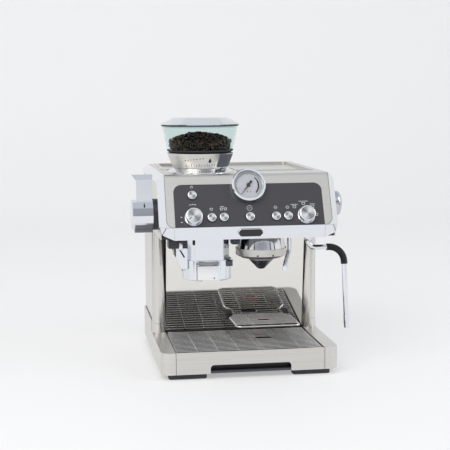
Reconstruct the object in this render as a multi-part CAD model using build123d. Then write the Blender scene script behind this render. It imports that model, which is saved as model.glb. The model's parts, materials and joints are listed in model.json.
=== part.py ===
"""Pump espresso machine with a built-in grinder, a side tamping lever, a steam wand and a drip tray.

Millimetres, +Z up.  The origin is on the table, under the centre plane of the machine (X = 0)
and under the axis line of the two front columns (Y = 0).  The front faces -Y.
"""
import os
from math import cos, radians, sin, tan

from build123d import *

os.makedirs("parts", exist_ok=True)

# ---------------------------------------------------------------- driving dimensions
# body
TANK_W = 210.0            # water tank in the back of the body
TANK_BESIDE = 49.0        # each side of the tank, for the mains inlet
BODY_W = TANK_W + 2 * TANK_BESIDE     # width over the base and the head
BODY_D = 350.0            # drip tray front to the back of the rear cover
TRAY_REACH = 180.0        # drip tray front to the column axis
FOOT_H = 10.0             # gap under the base
BASE_H = 38.0             # height of the base skirt and of the drip tray front
REAR_STEP = 18.0          # the skirt behind the columns stands this much higher
BREW_SPACE = 192.0        # drip tray to the underside of the head
HEAD_H = 108.0            # height of the head
SHEET = 1.6               # steel sheet
PLASTIC = 2.5             # moulded wall
SEAT = 0.3                # gap where curved or painted faces seat on each other
RUN = 0.6                 # gap where one piece slides past another
PIN_CLEAR = 0.05          # radial running clearance of pins and shafts
EDGE_R = 3.0              # general edge rounding of castings

# base
SKIRT_WALL = 2.0          # thickness of the base skirt
WING_W = 24.5             # width of the skirt arms beside the drip tray
WING_CORNER = 16.0        # corner radius at the front of each arm
FLOOR_T = 4.0             # floor plate, and the underside of the head
FOOT_W = 66.0             # width of one foot
FOOT_D = 22.0             # depth of one foot
FOOT_OUT = 13.0           # outer edge of a foot inside the side of the base
FOOT_INSET = 9.0          # foot edge behind the front or rear of the base
FOOT_CHAMFER = 1.0
SILL_H = 29.7             # sill on the floor plate that the splash panel stands on

# drip tray
TRAY_GAP = 0.8            # gap between the tray and the skirt arms
TRAY_FRONT_T = 2.4        # steel front of the tray
TRAY_BACK_GAP = 6.0       # back of the pan in front of the column axis
PAN_GAP = 0.4             # pan side inside the edge of the tray front
PAN_WALL = 2.0
ARCH_W = 140.0            # finger arch under the tray front
ARCH_H = 15.0
ARCH_R = 6.0
FINGER_D = 14.0           # finger hollow behind the arch
WIRE_D = 2.6              # grate wires
WIRE_LAP = 0.4            # depth to which crossing wires are welded into each other
WIRE_PITCH = 10.0
CROSS_PITCH = 38.0
WIRE_EDGE = 1.0           # border wire inside the edge of the pan
FLOAT_X = 41.0            # water-level float
FLOAT_Y = -75.0
FLOAT_W = 22.0
FLOAT_D = 7.0
FLOAT_T = 3.0
FLOAT_DROP = 11.0         # underside of the float's flag below the top of the grate
FLOAT_GAP = 3.0           # grate wires beside the float
FLOAT_STEM_W = 7.0
FLOAT_STEM_D = 4.0
FLOAT_GUIDE_H = 14.6
FLOAT_GUIDE_WALL = 4.0

# espresso cup tray
CUP_TRAY_X = 42.0
CUP_TRAY_W = 116.0
CUP_TRAY_L = 111.0        # hinge line to front edge
CUP_TRAY_UP = 32.0        # top of the cup grid over the drip tray
CUP_HINGE_Y = -10.0
CUP_RIM_D = 4.0           # rim of the cup grid
CUP_RIM_BEND = 8.0
CUP_RIM_DROP = 3.7        # middle of the rim below the top of the wires
CUP_TAPER_X = 11.0        # the rim bends inwards near the hinge
CUP_TAPER_Y = 26.0
CUP_EYE_L = 9.0           # straight end of the rim in front of each eye
CUP_WIRE_D = 2.2
CUP_WIRE_PITCH = 9.0
CUP_FILE_X = 27.0         # lengthwise wires beside the middle
CUP_WINDOW_W = 20.0       # window over the float
CUP_MARKER_W = 34.0       # red level marker under the window
CUP_MARKER_D = 6.0
CUP_MARKER_T = 3.0
HINGE_PIN_D = 5.0
HINGE_EYE_WALL = 2.0
HINGE_EYE_W = 5.0
BRACKET_W = 9.0
BRACKET_TIP = 5.0         # half height at the pin, and reach in front of it
BRACKET_ROOT = 9.0        # half height at the splash panel

# columns and splash panel
COLUMN_D = 25.0
COLUMN_WALL = 1.5
COLUMN_EDGE = 0.1         # collar inside the side of the base
COLLAR_H = 18.0
COLLAR_RIM = 0.4          # collar outside the tube
COLLAR_CHAMFER = 0.6
SPLASH_TILT = 7.0         # lean of the mirror panel towards the front
SPLASH_T = 2.0
SPLASH_FOOT_Y = 2.0       # front face of the panel at the height of the drip tray

# head front
PANEL_TILT = 25.0         # control panel leans back from the vertical
PANEL_OUT = 1.0           # panel foot in front of the drip tray front
ROLL_R = 8.0              # roll between the front plate and the top
FRAME_W = 12.0            # chrome side frames
FRAME_BAND = 14.0         # visible depth of the frame along the head outline
FRAME_FOOT = 18.0         # depth of the frame at its lower end
FRAME_EDGE = 1.5          # flat left in front of the frame's bevel
SIDE_INSET = 3.0          # side panels inside the frames
STRIP_H = 22.0            # chrome strip under the control panel
STRIP_TUCK = 3.0          # lower edge of the strip behind its upper edge
STRIP_T = 3.0
STRIP_CORNER = 25.0       # length of the strip's corner pieces
CORNER_CUT = 20.0         # their lower corners cut off, across and up
CORNER_CUT_H = 9.0
FASCIA_W = 256.0
FASCIA_H = 76.0
FASCIA_R = 14.0
FASCIA_T = 1.2
BADGE_W = 42.0
BADGE_H = 12.5
BADGE_T = 1.6
BADGE_CHAMFER = 0.5

# controls, in panel coordinates: across, and up the slope from the panel foot
CONTROL_ROW = 16.0
BUTTON_D = 15.0
BUTTON_OUT = 5.0
BUTTON_DEEP = 4.0         # cap behind the panel face
BUTTON_ROUND = 0.8
BUTTON_STEM_D = 5.0
BUTTON_STEM_L = 6.0
BUTTON_TRAVEL = 1.5
OUTER_BUTTON_X = 65.5
INNER_BUTTON_X = 44.8
POWER_UP = 56.5
KNOB_X = 96.6
KNOB_D = 28.0
KNOB_OUT = 16.0
KNOB_SKIRT = 3.0
KNOB_GROOVES = 36
KNOB_GROOVE_R = 0.7
SHAFT_D = 8.0
SHAFT_IN = 25.8           # knob shafts behind the panel face
GAUGE_UP = 70.5
GAUGE_D = 58.0
GAUGE_OUT = 14.0
GAUGE_RIM = 3.4
GAUGE_BODY_D = 50.0
GAUGE_BODY_L = 16.0       # depth of the case behind the panel face
GAUGE_WELL = 7.0
GAUGE_CHAMFER = 1.2
DIAL_T = 0.8
NEEDLE_L = 20.0
NEEDLE_T = 0.8
NEEDLE_UP = 1.6           # needle over the floor of the well
NEEDLE_ANGLE = 232.0
NEEDLE_PIN_D = 3.0
LENS_T = 1.2
LENS_SINK = 1.0
BOARD_DEEP = 14.5         # middle of the circuit board behind the panel face
BOARD_T = 1.6
BOARD_H = 52.0
BOARD_UP = 30.0
SWITCH_BODY = 9.0
POST_R = 3.0
POST_UP = 26.0

# hopper and grinder
HOPPER_X = -72.0
HOPPER_Y = -80.0
NECK_H = 8.0              # flared collar on the head
NECK_FOOT_T = 1.5
NECK_R = 47.5
RING_H = 26.0
RING_RIM = 3.0
RING_DISH = 6.0           # fall of the ring's inner floor
RING_OVER = 1.0           # ring wider than the foot of the bowl
TAB_W = 17.0              # dark tab on the ring
TAB_T = 6.0
TAB_OUT = 2.0
TAB_ANGLE = -38.0
BOWL_H = 51.8
BOWL_FOOT_R = 57.0
BOWL_FLARE = 10.0
BOWL_STAND = 4.7          # flat foot of the bowl wider than the bore of the ring
BOWL_BEVEL_H = 8.5        # dark bevel round the foot
BOWL_WALL = 2.5
THROAT_R = 22.0
THROAT_L = 12.0
LID_OVER = 3.2            # lid wider than the bowl
LID_H = 12.7
LID_EDGE = 2.0
LID_FLAT_R = 48.5
LID_RIM_GAP = 1.2
LID_RIM_T = 2.0
LID_RIM_H = 4.0
SCOOP_W = 62.0            # finger scoops in the bevel of the lid
SCOOP_TOP_W = 52.0
SCOOP_Y = 47.5
SCOOP_FOOT = 0.8          # floor of the scoops over the underside of the lid
BEAN_GAP = 0.6
BEAN_H = 35.8             # heap over the bottom of the bowl
CHAMBER_R = 40.0          # burr chamber
CHAMBER_WALL = 4.0
CHAMBER_DROP = 10.0       # top of the chamber under the top of the ring
GRINDER_DROP = 48.0       # floor of the chamber under the top of the head
BURR_R = 30.0
BURR_UP = 30.0            # fixed burr over the floor of the chamber
BURR_H = 10.0
BURR_GAP = 1.0
BURR_EYE_R = 14.0
SWEEPER_W = 8.0
SPINDLE_R = 5.0
GEARBOX_H = 10.0
MOTOR_R = 28.0
MOTOR_Y = -22.0

# grinder outlet and dosing cradle
OUTLET_X = -64.0
OUTLET_Y = -95.0
OUTLET_W = 73.0
OUTLET_D = 68.0
OUTLET_H = 43.0
OUTLET_BEVEL_X = 12.0
OUTLET_BEVEL_Y = 14.0
CRADLE_H = 34.5
CRADLE_R = 43.0
CRADLE_BORE_R = 34.0
CRADLE_PLATE_W = 30.0     # flat front plate of the cradle
CRADLE_PLATE_OUT = 1.2
CRADLE_PLATE_DROP = 7.0
BRACKET_T = 20.0          # bracket at the left of the outlet
BRACKET_FRONT = 26.0      # in front of the middle of the outlet, and behind it
BRACKET_REAR = 22.0
BRACKET_NOSE = 18.0
BRACKET_STEP = 16.0
BRACKET_LIP = 14.0        # front edge below the lower face of the outlet
BRACKET_CUT = 15.0        # its lower corner cut away outside
BRACKET_CUT_H = 33.0
BRACKET_CUT_UP = 6.0      # top of the cut over the lower face of the outlet
STOP_TAB = (12.0, 10.0, 9.0)  # dotted tab at the right of the cradle
TAB_SINK = 5.0
TAB_DROP = 6.0
TAMPER_R = 28.0
TAMPER_T = 8.0
TAMPER_UP = 3.0           # underside of the tamper over the outlet's lower face
ROD_W = 10.0

# lever
LEVER_Y = -99.0
LEVER_UP = 37.0           # lever axis over the underside of the head
HUB_R = 26.0
HUB_L = 36.9
HUB_SIDES = 12
HEEL_W = 18.0
HEEL_DROP = 4.0           # heel below the hub
HEEL_STEP = 6.0
FLANGE_T = 7.5
FLANGE_R = 27.0
LEVER_SHAFT_D = 9.0
PINION_R = 8.0
ARM_W = 27.0
ARM_T = 9.0
ARM_L = 60.0
ARM_SHIFT = 4.4           # arm off the middle of the hub
CAP_H = 9.0
CAP_OUT = 8.0             # the cap flares outwards
CAP_IN = 1.0
CAP_BEVEL = 14.0          # bevel of the cap, back from its front
CAP_FRONT_H = 1.0

# brew group
GROUP_X = 34.0
GROUP_Y = -90.0
SHROUD_H = 26.5
SHROUD_TOP_R = 38.0
SHROUD_STEP = 2.0
RING_OUT_R = 45.0         # collar that the filter holder locks into
RING_BORE_R = 30.0
RING_COLLAR_H = 17.0
RING_BEVEL = 9.0
RING_BEVEL_H = 5.0
RING_DIMPLE_L = 4.0
RING_DIMPLE_X = 13.5
RING_DIMPLE_R = 1.6
SOCKET_R = 34.0
GROUP_BODY_R = 33.0
GROUP_BODY_TOP = 12.0     # brew head body over the underside of the head
CONE_R = 22.0
CONE_TIP_R = 6.0
CONE_RIM = 4.5            # widest line of the cone under the collar
CONE_DROP = 22.5          # tip of the cone under the collar

# spout and wand
SPOUT_X = 88.0
SPOUT_Y = -78.0
SPOUT_D = 9.0
SPOUT_IN = 10.0           # tube over the underside of the head
SPOUT_DROP = 35.0
SPOUT_LEAN = 27.0
SPOUT_SIDE = 9.0
SPOUT_FORWARD = 5.0
SPOUT_BENDS = (14.0, 10.0)
NOZZLE_H = 8.0
NOZZLE_RIM = 0.8
WAND_INSET = 38.0         # swivel axis inside the right side
WAND_Y = -105.0
WAND_D = 9.0
WAND_IN = 22.0            # tube over the underside of the head
WAND_BALL_R = 8.0
WAND_REACH = 70.0
WAND_DROP = 27.5          # level run of the tube under the head
WAND_TURN_R = 13.0
WAND_KNEE_R = 28.0        # wide bend at the end of the level run
WAND_LEAN = 5.5           # the tube leans outwards below it
WAND_TIP_UP = 18.0        # tip over the drip tray
WAND_TIP_L = 24.0
WAND_TIP_RIM = 0.4
GRIP_D = 12.5
GRIP_REACH = 31.0         # sleeve on each side of the corner of the wide bend

# steam knob
STEAM_Y = -75.0
STEAM_UP = 47.0           # axis over the underside of the head
STEAM_R = 23.0
STEAM_OUT = 27.0
STEAM_DOME = 9.0
STEAM_IN = 34.0           # shaft inside the right side

# cup warmer
WARMER_DEPTH = 6.0
WARMER_LIP_T = 1.2
WARMER_LIP_W = 5.0
WARMER_EDGE = 14.0        # well inside the side frames
WARMER_FRONT = -68.0
WARMER_MID = -14.0
WARMER_REAR_GAP = 18.0
WARMER_GAP = 12.0         # well beside the hopper collar
WARMER_CORNER = 6.0

# rear
TANK_D = 68.0
TANK_UP = 6.0             # tank floor over the rear step of the skirt
TANK_H = 160.0
TANK_WALL = 2.5
TANK_CORNER = 8.0
TANK_GRIP_W = 80.0
TANK_GRIP_OUT = 10.0
TANK_GRIP_WALL = 4.0
TANK_GRIP_H = 18.0
TANK_GRIP_DROP = 12.0
TANK_SIDE_GAP = 6.0
BULKHEAD_Y = 16.0
BULKHEAD_T = 3.0
BRACE_W = 120.0           # brace behind the splash panel
BRACE_T = 4.0
BRACE_DROP = 12.0
SLOT_COUNT = 9            # air slots
SLOT_PITCH = 20.0
SLOT_W = 4.0
SLOT_H = 50.0
SCREW_R = 3.2
SCREW_H = 1.8
SCREW_RECESS_R = 1.2
SCREW_INSET = 8.0
INLET_INSET = 23.0        # inlet and switch inside the side panel
INLET_UP = 26.0           # inlet over the rear step of the skirt
SWITCH_UP = 64.0
INLET_W = 24.0
INLET_H = 20.0
INLET_DEEP = 22.0
INLET_WALL = 2.0
INLET_RIM_T = 1.5
INLET_PIN_L = 12.0
SWITCH_W = 14.0
SWITCH_H = 22.0
SWITCH_DEEP = 14.0
SWITCH_PIN_D = 3.0
SWITCH_PIN_IN = 4.0       # rocker pin behind the rear cover's face
SWITCH_REST = 8.0         # degrees that the rocker leans at rest

# works
PUMP_R = 26.0
PUMP_L = 110.0
PUMP_GAP = 3.0
PUMP_UP = 6.0
COIL_L = 48.0
PUMP_FOOT_W = 10.0
BOILER_W = 96.0
BOILER_FRONT = 30.0       # boiler in front of the group axis
BOILER_BACK = 44.0
BOILER_H = 34.0
HEATER_R = 5.0
HEATER_PITCH = 36.0
POST_W = 12.0             # stand under the heating block
POST_IN = 6.0
VALVE_W = 24.0            # steam valve over the wand
VALVE_H = 35.0

# ---------------------------------------------------------------- derived places
HALF = BODY_W / 2
FRONT = -TRAY_REACH
BACK = BODY_D - TRAY_REACH
BASE_TOP = FOOT_H + BASE_H
REAR_TOP = BASE_TOP + REAR_STEP
HEAD_BOTTOM = BASE_TOP + BREW_SPACE
HEAD_TOP = HEAD_BOTTOM + HEAD_H
FLOOR_TOP = FOOT_H + FLOOR_T
HEAD_FLOOR_TOP = HEAD_BOTTOM + FLOOR_T
WING_IN = HALF - WING_W
TRAY_HALF = WING_IN - TRAY_GAP
SIDE_X = HALF - SIDE_INSET
INSIDE_X = SIDE_X - SHEET - SEAT
FRAME_IN = HALF - FRAME_W

COLUMN_R = COLUMN_D / 2
COLUMN_X = HALF - COLUMN_R - COLLAR_RIM - COLUMN_EDGE
REAR_STEP_Y = COLUMN_R + COLLAR_RIM + 1.0

PAN_FRONT = FRONT + TRAY_FRONT_T
PAN_BACK = -TRAY_BACK_GAP
PAN_HALF = TRAY_HALF - PAN_GAP
PAN_BOTTOM = FLOOR_TOP + SEAT
GRATE_BOTTOM = BASE_TOP - 2 * WIRE_D + WIRE_LAP
PAN_TOP = GRATE_BOTTOM - SEAT

CUP_X0 = CUP_TRAY_X - CUP_TRAY_W / 2
CUP_X1 = CUP_TRAY_X + CUP_TRAY_W / 2
CUP_FRONT = CUP_HINGE_Y - CUP_TRAY_L
CUP_TOP = BASE_TOP + CUP_TRAY_UP
CUP_RIM_R = CUP_RIM_D / 2
CUP_RIM_Z = CUP_TOP - CUP_RIM_DROP
CUP_RIM_Y = CUP_FRONT + CUP_RIM_R
CUP_RAIL_XS = (CUP_X0 + CUP_RIM_R, CUP_X1 - CUP_RIM_R)
CUP_EYE_XS = (CUP_RAIL_XS[0] + CUP_TAPER_X, CUP_RAIL_XS[1] - CUP_TAPER_X)
CUP_ROWS = int((CUP_TRAY_L - CUP_RIM_R) / CUP_WIRE_PITCH) - 1
CUP_WINDOW_ROW = CUP_ROWS // 2 - 1
CUP_WINDOW_Y = CUP_RIM_Y + (CUP_WINDOW_ROW + 1) * CUP_WIRE_PITCH

PANEL_FOOT = HEAD_BOTTOM + STRIP_H
PANEL_Y = FRONT - PANEL_OUT
SLOPE = tan(radians(PANEL_TILT))
PANEL_TOP_Y = PANEL_Y + (HEAD_TOP - PANEL_FOOT) * SLOPE
PANEL = Plane(origin=(0, PANEL_Y, PANEL_FOOT), x_dir=(1, 0, 0),
              z_dir=(0, -cos(radians(PANEL_TILT)), sin(radians(PANEL_TILT))))
FRAME_LOW = HEAD_TOP - FRAME_BAND
FRAME_TOP_Y = PANEL_TOP_Y + FRAME_BAND
FRAME_FOOT_Y = PANEL_Y + FRAME_FOOT
STRIP_TOP = PANEL_FOOT - SEAT
STRIP_SEAM_X = HALF - STRIP_CORNER
BUTTON_XS = {"single_cup_button": -OUTER_BUTTON_X, "double_cup_button": -INNER_BUTTON_X,
             "start_button": 0.0,
             "temperature_button": INNER_BUTTON_X, "rinse_button": OUTER_BUTTON_X}
POWER_X = -KNOB_X
KNOB_FOOT = FASCIA_T + RUN
GAUGE_FLOOR = GAUGE_OUT - GAUGE_WELL
GAUGE_WELL_R = GAUGE_D / 2 - GAUGE_RIM
NEEDLE_HOLE_R = NEEDLE_PIN_D / 2 + PIN_CLEAR
BOARD_FRONT = BOARD_DEEP - BOARD_T / 2
STEM_END = BUTTON_DEEP + BUTTON_STEM_L

NECK_TOP = HEAD_TOP + NECK_H
RING_BOTTOM = NECK_TOP + SEAT
RING_TOP = NECK_TOP + RING_H
RING_BORE = CHAMBER_R + SEAT
RING_R = BOWL_FOOT_R + RING_OVER
RING_LIP_R = RING_R - RING_RIM
NECK_FOOT_R = RING_R
STAND_R = RING_BORE + BOWL_STAND
BOWL_SINK = RING_DISH * (RING_LIP_R - STAND_R) / (RING_LIP_R - RING_BORE)
BOWL_BOTTOM = RING_TOP - BOWL_SINK + SEAT
BOWL_TOP_R = BOWL_FOOT_R + BOWL_FLARE
LID_R = BOWL_TOP_R + LID_OVER
BOWL_TOP = BOWL_BOTTOM + BOWL_H
BOWL_WAIST = BOWL_BOTTOM + BOWL_BEVEL_H + BOWL_WALL / 2   # inner corner over the bevel
LID_BOTTOM = BOWL_TOP + SEAT
LID_TOP = LID_BOTTOM + LID_H
CHAMBER_FLOOR = HEAD_TOP - GRINDER_DROP
CHAMBER_TOP = RING_TOP - CHAMBER_DROP
BURR_Z = CHAMBER_FLOOR + BURR_UP

OUTLET_BOTTOM = HEAD_BOTTOM - OUTLET_H
CRADLE_BOTTOM = OUTLET_BOTTOM - CRADLE_H
TAMPER_Z = OUTLET_BOTTOM + TAMPER_UP
TAMPER_BORE_R = TAMPER_R + 1.0
LEVER_Z = HEAD_BOTTOM + LEVER_UP
HUB_X1 = -SIDE_X - FLANGE_T - RUN
HUB_X0 = HUB_X1 - HUB_L

COLLAR_TOP_Z = HEAD_BOTTOM - SHROUD_H
COLLAR_LOW_Z = COLLAR_TOP_Z - RING_COLLAR_H
BOILER_BASE = HEAD_BOTTOM + GROUP_BODY_TOP
WAND_X = HALF - WAND_INSET
WAND_TOP = HEAD_BOTTOM + WAND_IN
WAND_KNEE = (WAND_REACH - WAND_LEAN, WAND_DROP)      # reach, and drop under the head
WAND_FOOT = HEAD_BOTTOM - BASE_TOP - WAND_TIP_UP - WAND_TIP_L
STEAM_Z = HEAD_BOTTOM + STEAM_UP

TANK_FRONT = BACK - TANK_D
TANK_BOTTOM = REAR_TOP + TANK_UP
TANK_TOP = TANK_BOTTOM + TANK_H
SHELF_TOP = TANK_BOTTOM - SEAT
BULKHEAD_BACK = BULKHEAD_Y + BULKHEAD_T
INLET_X = SIDE_X - INLET_INSET
INLET_Z = REAR_TOP + INLET_UP
SWITCH_Z = REAR_TOP + SWITCH_UP
UNIT_HALF = INLET_W / 2 - SEAT
UNIT_LOW = INLET_Z - INLET_H / 2
UNIT_HIGH = SWITCH_Z + SWITCH_H / 2 + INLET_WALL


# ---------------------------------------------------------------- helpers
def save(name, shape):
    """Writes one sub-part."""
    export_step(shape, f"parts/{name}.step")


def block(x, y, z):
    """A box from its lowest to its highest coordinates along each axis."""
    size = [b - a for a, b in (x, y, z)]
    return Pos(*[(a + b) / 2 for a, b in (x, y, z)]) * Box(*size)


def disc(x, y, z0, z1, r):
    """An upright cylinder."""
    return Pos(x, y, (z0 + z1) / 2) * Cylinder(r, z1 - z0)


def bar_x(x0, x1, y, z, r):
    """A cylinder along X."""
    return Pos((x0 + x1) / 2, y, z) * Rot(0, 90, 0) * Cylinder(r, x1 - x0)


def bar_y(x, y0, y1, z, r):
    """A cylinder along Y."""
    return Pos(x, (y0 + y1) / 2, z) * Rot(90, 0, 0) * Cylinder(r, y1 - y0)


def side_prism(points, x0, x1):
    """Extrudes an outline given as (y, z) points from x0 to x1."""
    face = make_face(Polyline(*points, close=True))
    return Pos(x0, 0, 0) * extrude(Plane.YZ * face, x1 - x0)


def across_prism(points, y0, y1):
    """Extrude an XZ outline along Y."""
    return Pos(0, y1, 0) * extrude(Plane.XZ * make_face(Polyline(*points, close=True)), y1 - y0)


def turned(x, y, profile):
    """Revolves a closed (radius, z) outline about the upright line at x, y."""
    face = Plane.XZ * make_face(Polyline(*profile, close=True))
    return Pos(x, y, 0) * revolve(face, Axis.Z)


def panel_disc(x, up, out0, out1, r):
    """A cylinder square to the control panel, in panel coordinates."""
    return Pos(x, up, (out0 + out1) / 2) * Cylinder(r, out1 - out0)


def slab(w, h, r, t):
    """A rounded rectangle lying in XY, its lower face at zero."""
    return extrude(RectangleRounded(w, h, r), t)


def tube_along(path, r):
    """A round bar along a path."""
    return sweep(Plane(path @ 0, z_dir=path % 0) * Circle(r), path)


# ---------------------------------------------------------------- base
def base_shell():
    """Steel skirt: two arms beside the drip tray, joined by the sides and back of the base."""
    outer = block((-HALF, HALF), (FRONT, BACK), (FOOT_H, BASE_TOP))
    corners = outer.edges().filter_by(Axis.Z).group_by(Axis.Y)[0]
    outer = fillet(corners, WING_CORNER)
    outer += block((-HALF, HALF), (REAR_STEP_Y, BACK), (FOOT_H, REAR_TOP))
    arm = block((-HALF + SKIRT_WALL, -WING_IN - SKIRT_WALL), (FRONT + WING_CORNER, BULKHEAD_Y),
                (FOOT_H, BASE_TOP - SKIRT_WALL))
    hollow = arm + mirror(arm, Plane.YZ)
    rear = block((-HALF + SKIRT_WALL, HALF - SKIRT_WALL),
                 (REAR_STEP_Y + SKIRT_WALL, BACK - SKIRT_WALL), (FOOT_H, REAR_TOP))
    tray_bay = block((-WING_IN, WING_IN), (FRONT, REAR_STEP_Y + SKIRT_WALL), (FOOT_H, REAR_TOP))
    return outer - hollow - rear - tray_bay


def floor_plate():
    """Moulded floor that closes the base, with a sill that carries the splash panel."""
    side = WING_IN - SEAT
    wide = HALF - SKIRT_WALL - SEAT
    rear_y = REAR_STEP_Y + SKIRT_WALL + SEAT
    front = block((-side, side), (FRONT + TRAY_FRONT_T + RUN, rear_y), (FOOT_H, FLOOR_TOP))
    rear = block((-wide, wide), (rear_y, BACK - SKIRT_WALL - SEAT), (FOOT_H, FLOOR_TOP))
    sill = block((-side, side), (SPLASH_FOOT_Y - 1, BULKHEAD_Y - SEAT),
                 (FLOOR_TOP, FLOOR_TOP + SILL_H))
    return front + rear + sill


def feet():
    """Four long rubber pads."""
    foot_x = HALF - FOOT_OUT - FOOT_W / 2
    pads = []
    for x in (-foot_x, foot_x):
        for y in (FRONT + FOOT_INSET + FOOT_D / 2, BACK - FOOT_INSET - FOOT_D / 2):
            pad = Pos(x, y, 0) * slab(FOOT_W, FOOT_D, FOOT_D / 4, FOOT_H)
            pads.append(chamfer(pad.edges().group_by(Axis.Z)[0], FOOT_CHAMFER))
    return Compound(children=pads)


# ---------------------------------------------------------------- drip tray
def drip_pan():
    """Plastic pan with a finger hollow in its front and a guide for the float."""
    floor = PAN_BOTTOM + PAN_WALL
    pan = block((-PAN_HALF, PAN_HALF), (PAN_FRONT, PAN_BACK), (PAN_BOTTOM, PAN_TOP))
    inside = block((-PAN_HALF + PAN_WALL, PAN_HALF - PAN_WALL),
                   (PAN_FRONT + PAN_WALL, PAN_BACK - PAN_WALL), (floor, PAN_TOP))
    grip_x = ARCH_W / 2
    grip_y = PAN_FRONT + FINGER_D
    grip_z = FOOT_H + ARCH_H
    inside -= block((-grip_x - PAN_WALL, grip_x + PAN_WALL), (PAN_FRONT, grip_y + PAN_WALL),
                    (PAN_BOTTOM, grip_z + PAN_WALL))
    pan -= inside
    pan -= block((-grip_x, grip_x), (PAN_FRONT, grip_y), (PAN_BOTTOM, grip_z))
    stem_x, stem_y = FLOAT_STEM_W / 2 + RUN, FLOAT_STEM_D / 2 + RUN
    top = floor + FLOAT_GUIDE_H
    pan += block((FLOAT_X - stem_x - FLOAT_GUIDE_WALL, FLOAT_X + stem_x + FLOAT_GUIDE_WALL),
                 (FLOAT_Y - stem_y - FLOAT_GUIDE_WALL, FLOAT_Y + stem_y + FLOAT_GUIDE_WALL), (floor, top))
    pan -= block((FLOAT_X - stem_x, FLOAT_X + stem_x), (FLOAT_Y - stem_y, FLOAT_Y + stem_y), (floor, top))
    return pan


def tray_front():
    """Brushed steel front of the tray with the finger arch."""
    plate = block((-TRAY_HALF, TRAY_HALF), (FRONT, PAN_FRONT), (FOOT_H, BASE_TOP))
    arch = block((-ARCH_W / 2, ARCH_W / 2), (FRONT, PAN_FRONT), (FOOT_H - ARCH_H, FOOT_H + ARCH_H))
    arch = fillet(arch.edges().filter_by(Axis.Y).group_by(Axis.Z)[-1], ARCH_R)
    return plate - arch


def drip_grate():
    """Wire grate: wires across, on lengthwise wires, with a gap for the float."""
    r = WIRE_D / 2
    top = BASE_TOP - r
    low = GRATE_BOTTOM + r
    side = PAN_HALF - WIRE_EDGE - r
    y0 = PAN_FRONT + WIRE_EDGE + r
    y1 = PAN_BACK - WIRE_EDGE - r
    gap = FLOAT_W / 2 + FLOAT_GAP + r
    rows = round((y1 - y0) / WIRE_PITCH)
    wires = []
    for i in range(rows + 1):
        y = y0 + i * (y1 - y0) / rows
        if abs(y - FLOAT_Y) < FLOAT_D / 2 + r + RUN:
            wires.append(bar_x(-side, FLOAT_X - gap, y, top, r))
            wires.append(bar_x(FLOAT_X + gap, side, y, top, r))
        else:
            wires.append(bar_x(-side, side, y, top, r))
    files = round(2 * side / CROSS_PITCH)
    xs = [-side + i * 2 * side / files for i in range(files + 1)]
    xs = [x for x in xs if abs(x - FLOAT_X) > gap + WIRE_D]
    xs += [FLOAT_X - gap, FLOAT_X + gap]
    for x in xs:
        wires.append(bar_y(x, y0, y1, low, r))
    grate = wires[0]
    for wire in wires[1:]:
        grate += wire
    return grate


def water_float():
    """Red float: a flag on a stem that stands in the pan's guide."""
    flag_z = BASE_TOP - FLOAT_DROP
    flag = block((FLOAT_X - FLOAT_W / 2, FLOAT_X + FLOAT_W / 2),
                 (FLOAT_Y - FLOAT_D / 2, FLOAT_Y + FLOAT_D / 2), (flag_z, flag_z + FLOAT_T))
    stem = block((FLOAT_X - FLOAT_STEM_W / 2, FLOAT_X + FLOAT_STEM_W / 2),
                 (FLOAT_Y - FLOAT_STEM_D / 2, FLOAT_Y + FLOAT_STEM_D / 2),
                 (PAN_BOTTOM + PAN_WALL + SEAT, flag_z))
    return flag + stem


# ---------------------------------------------------------------- espresso cup tray
def cup_rail_x(y):
    """Distance of the rim from the middle of the cup grid."""
    straight = CUP_RAIL_XS[1] - CUP_TRAY_X
    taper = (y - CUP_HINGE_Y + CUP_TAPER_Y) / (CUP_TAPER_Y - CUP_EYE_L)
    return straight - CUP_TAPER_X * min(max(0, taper), 1)


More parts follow.
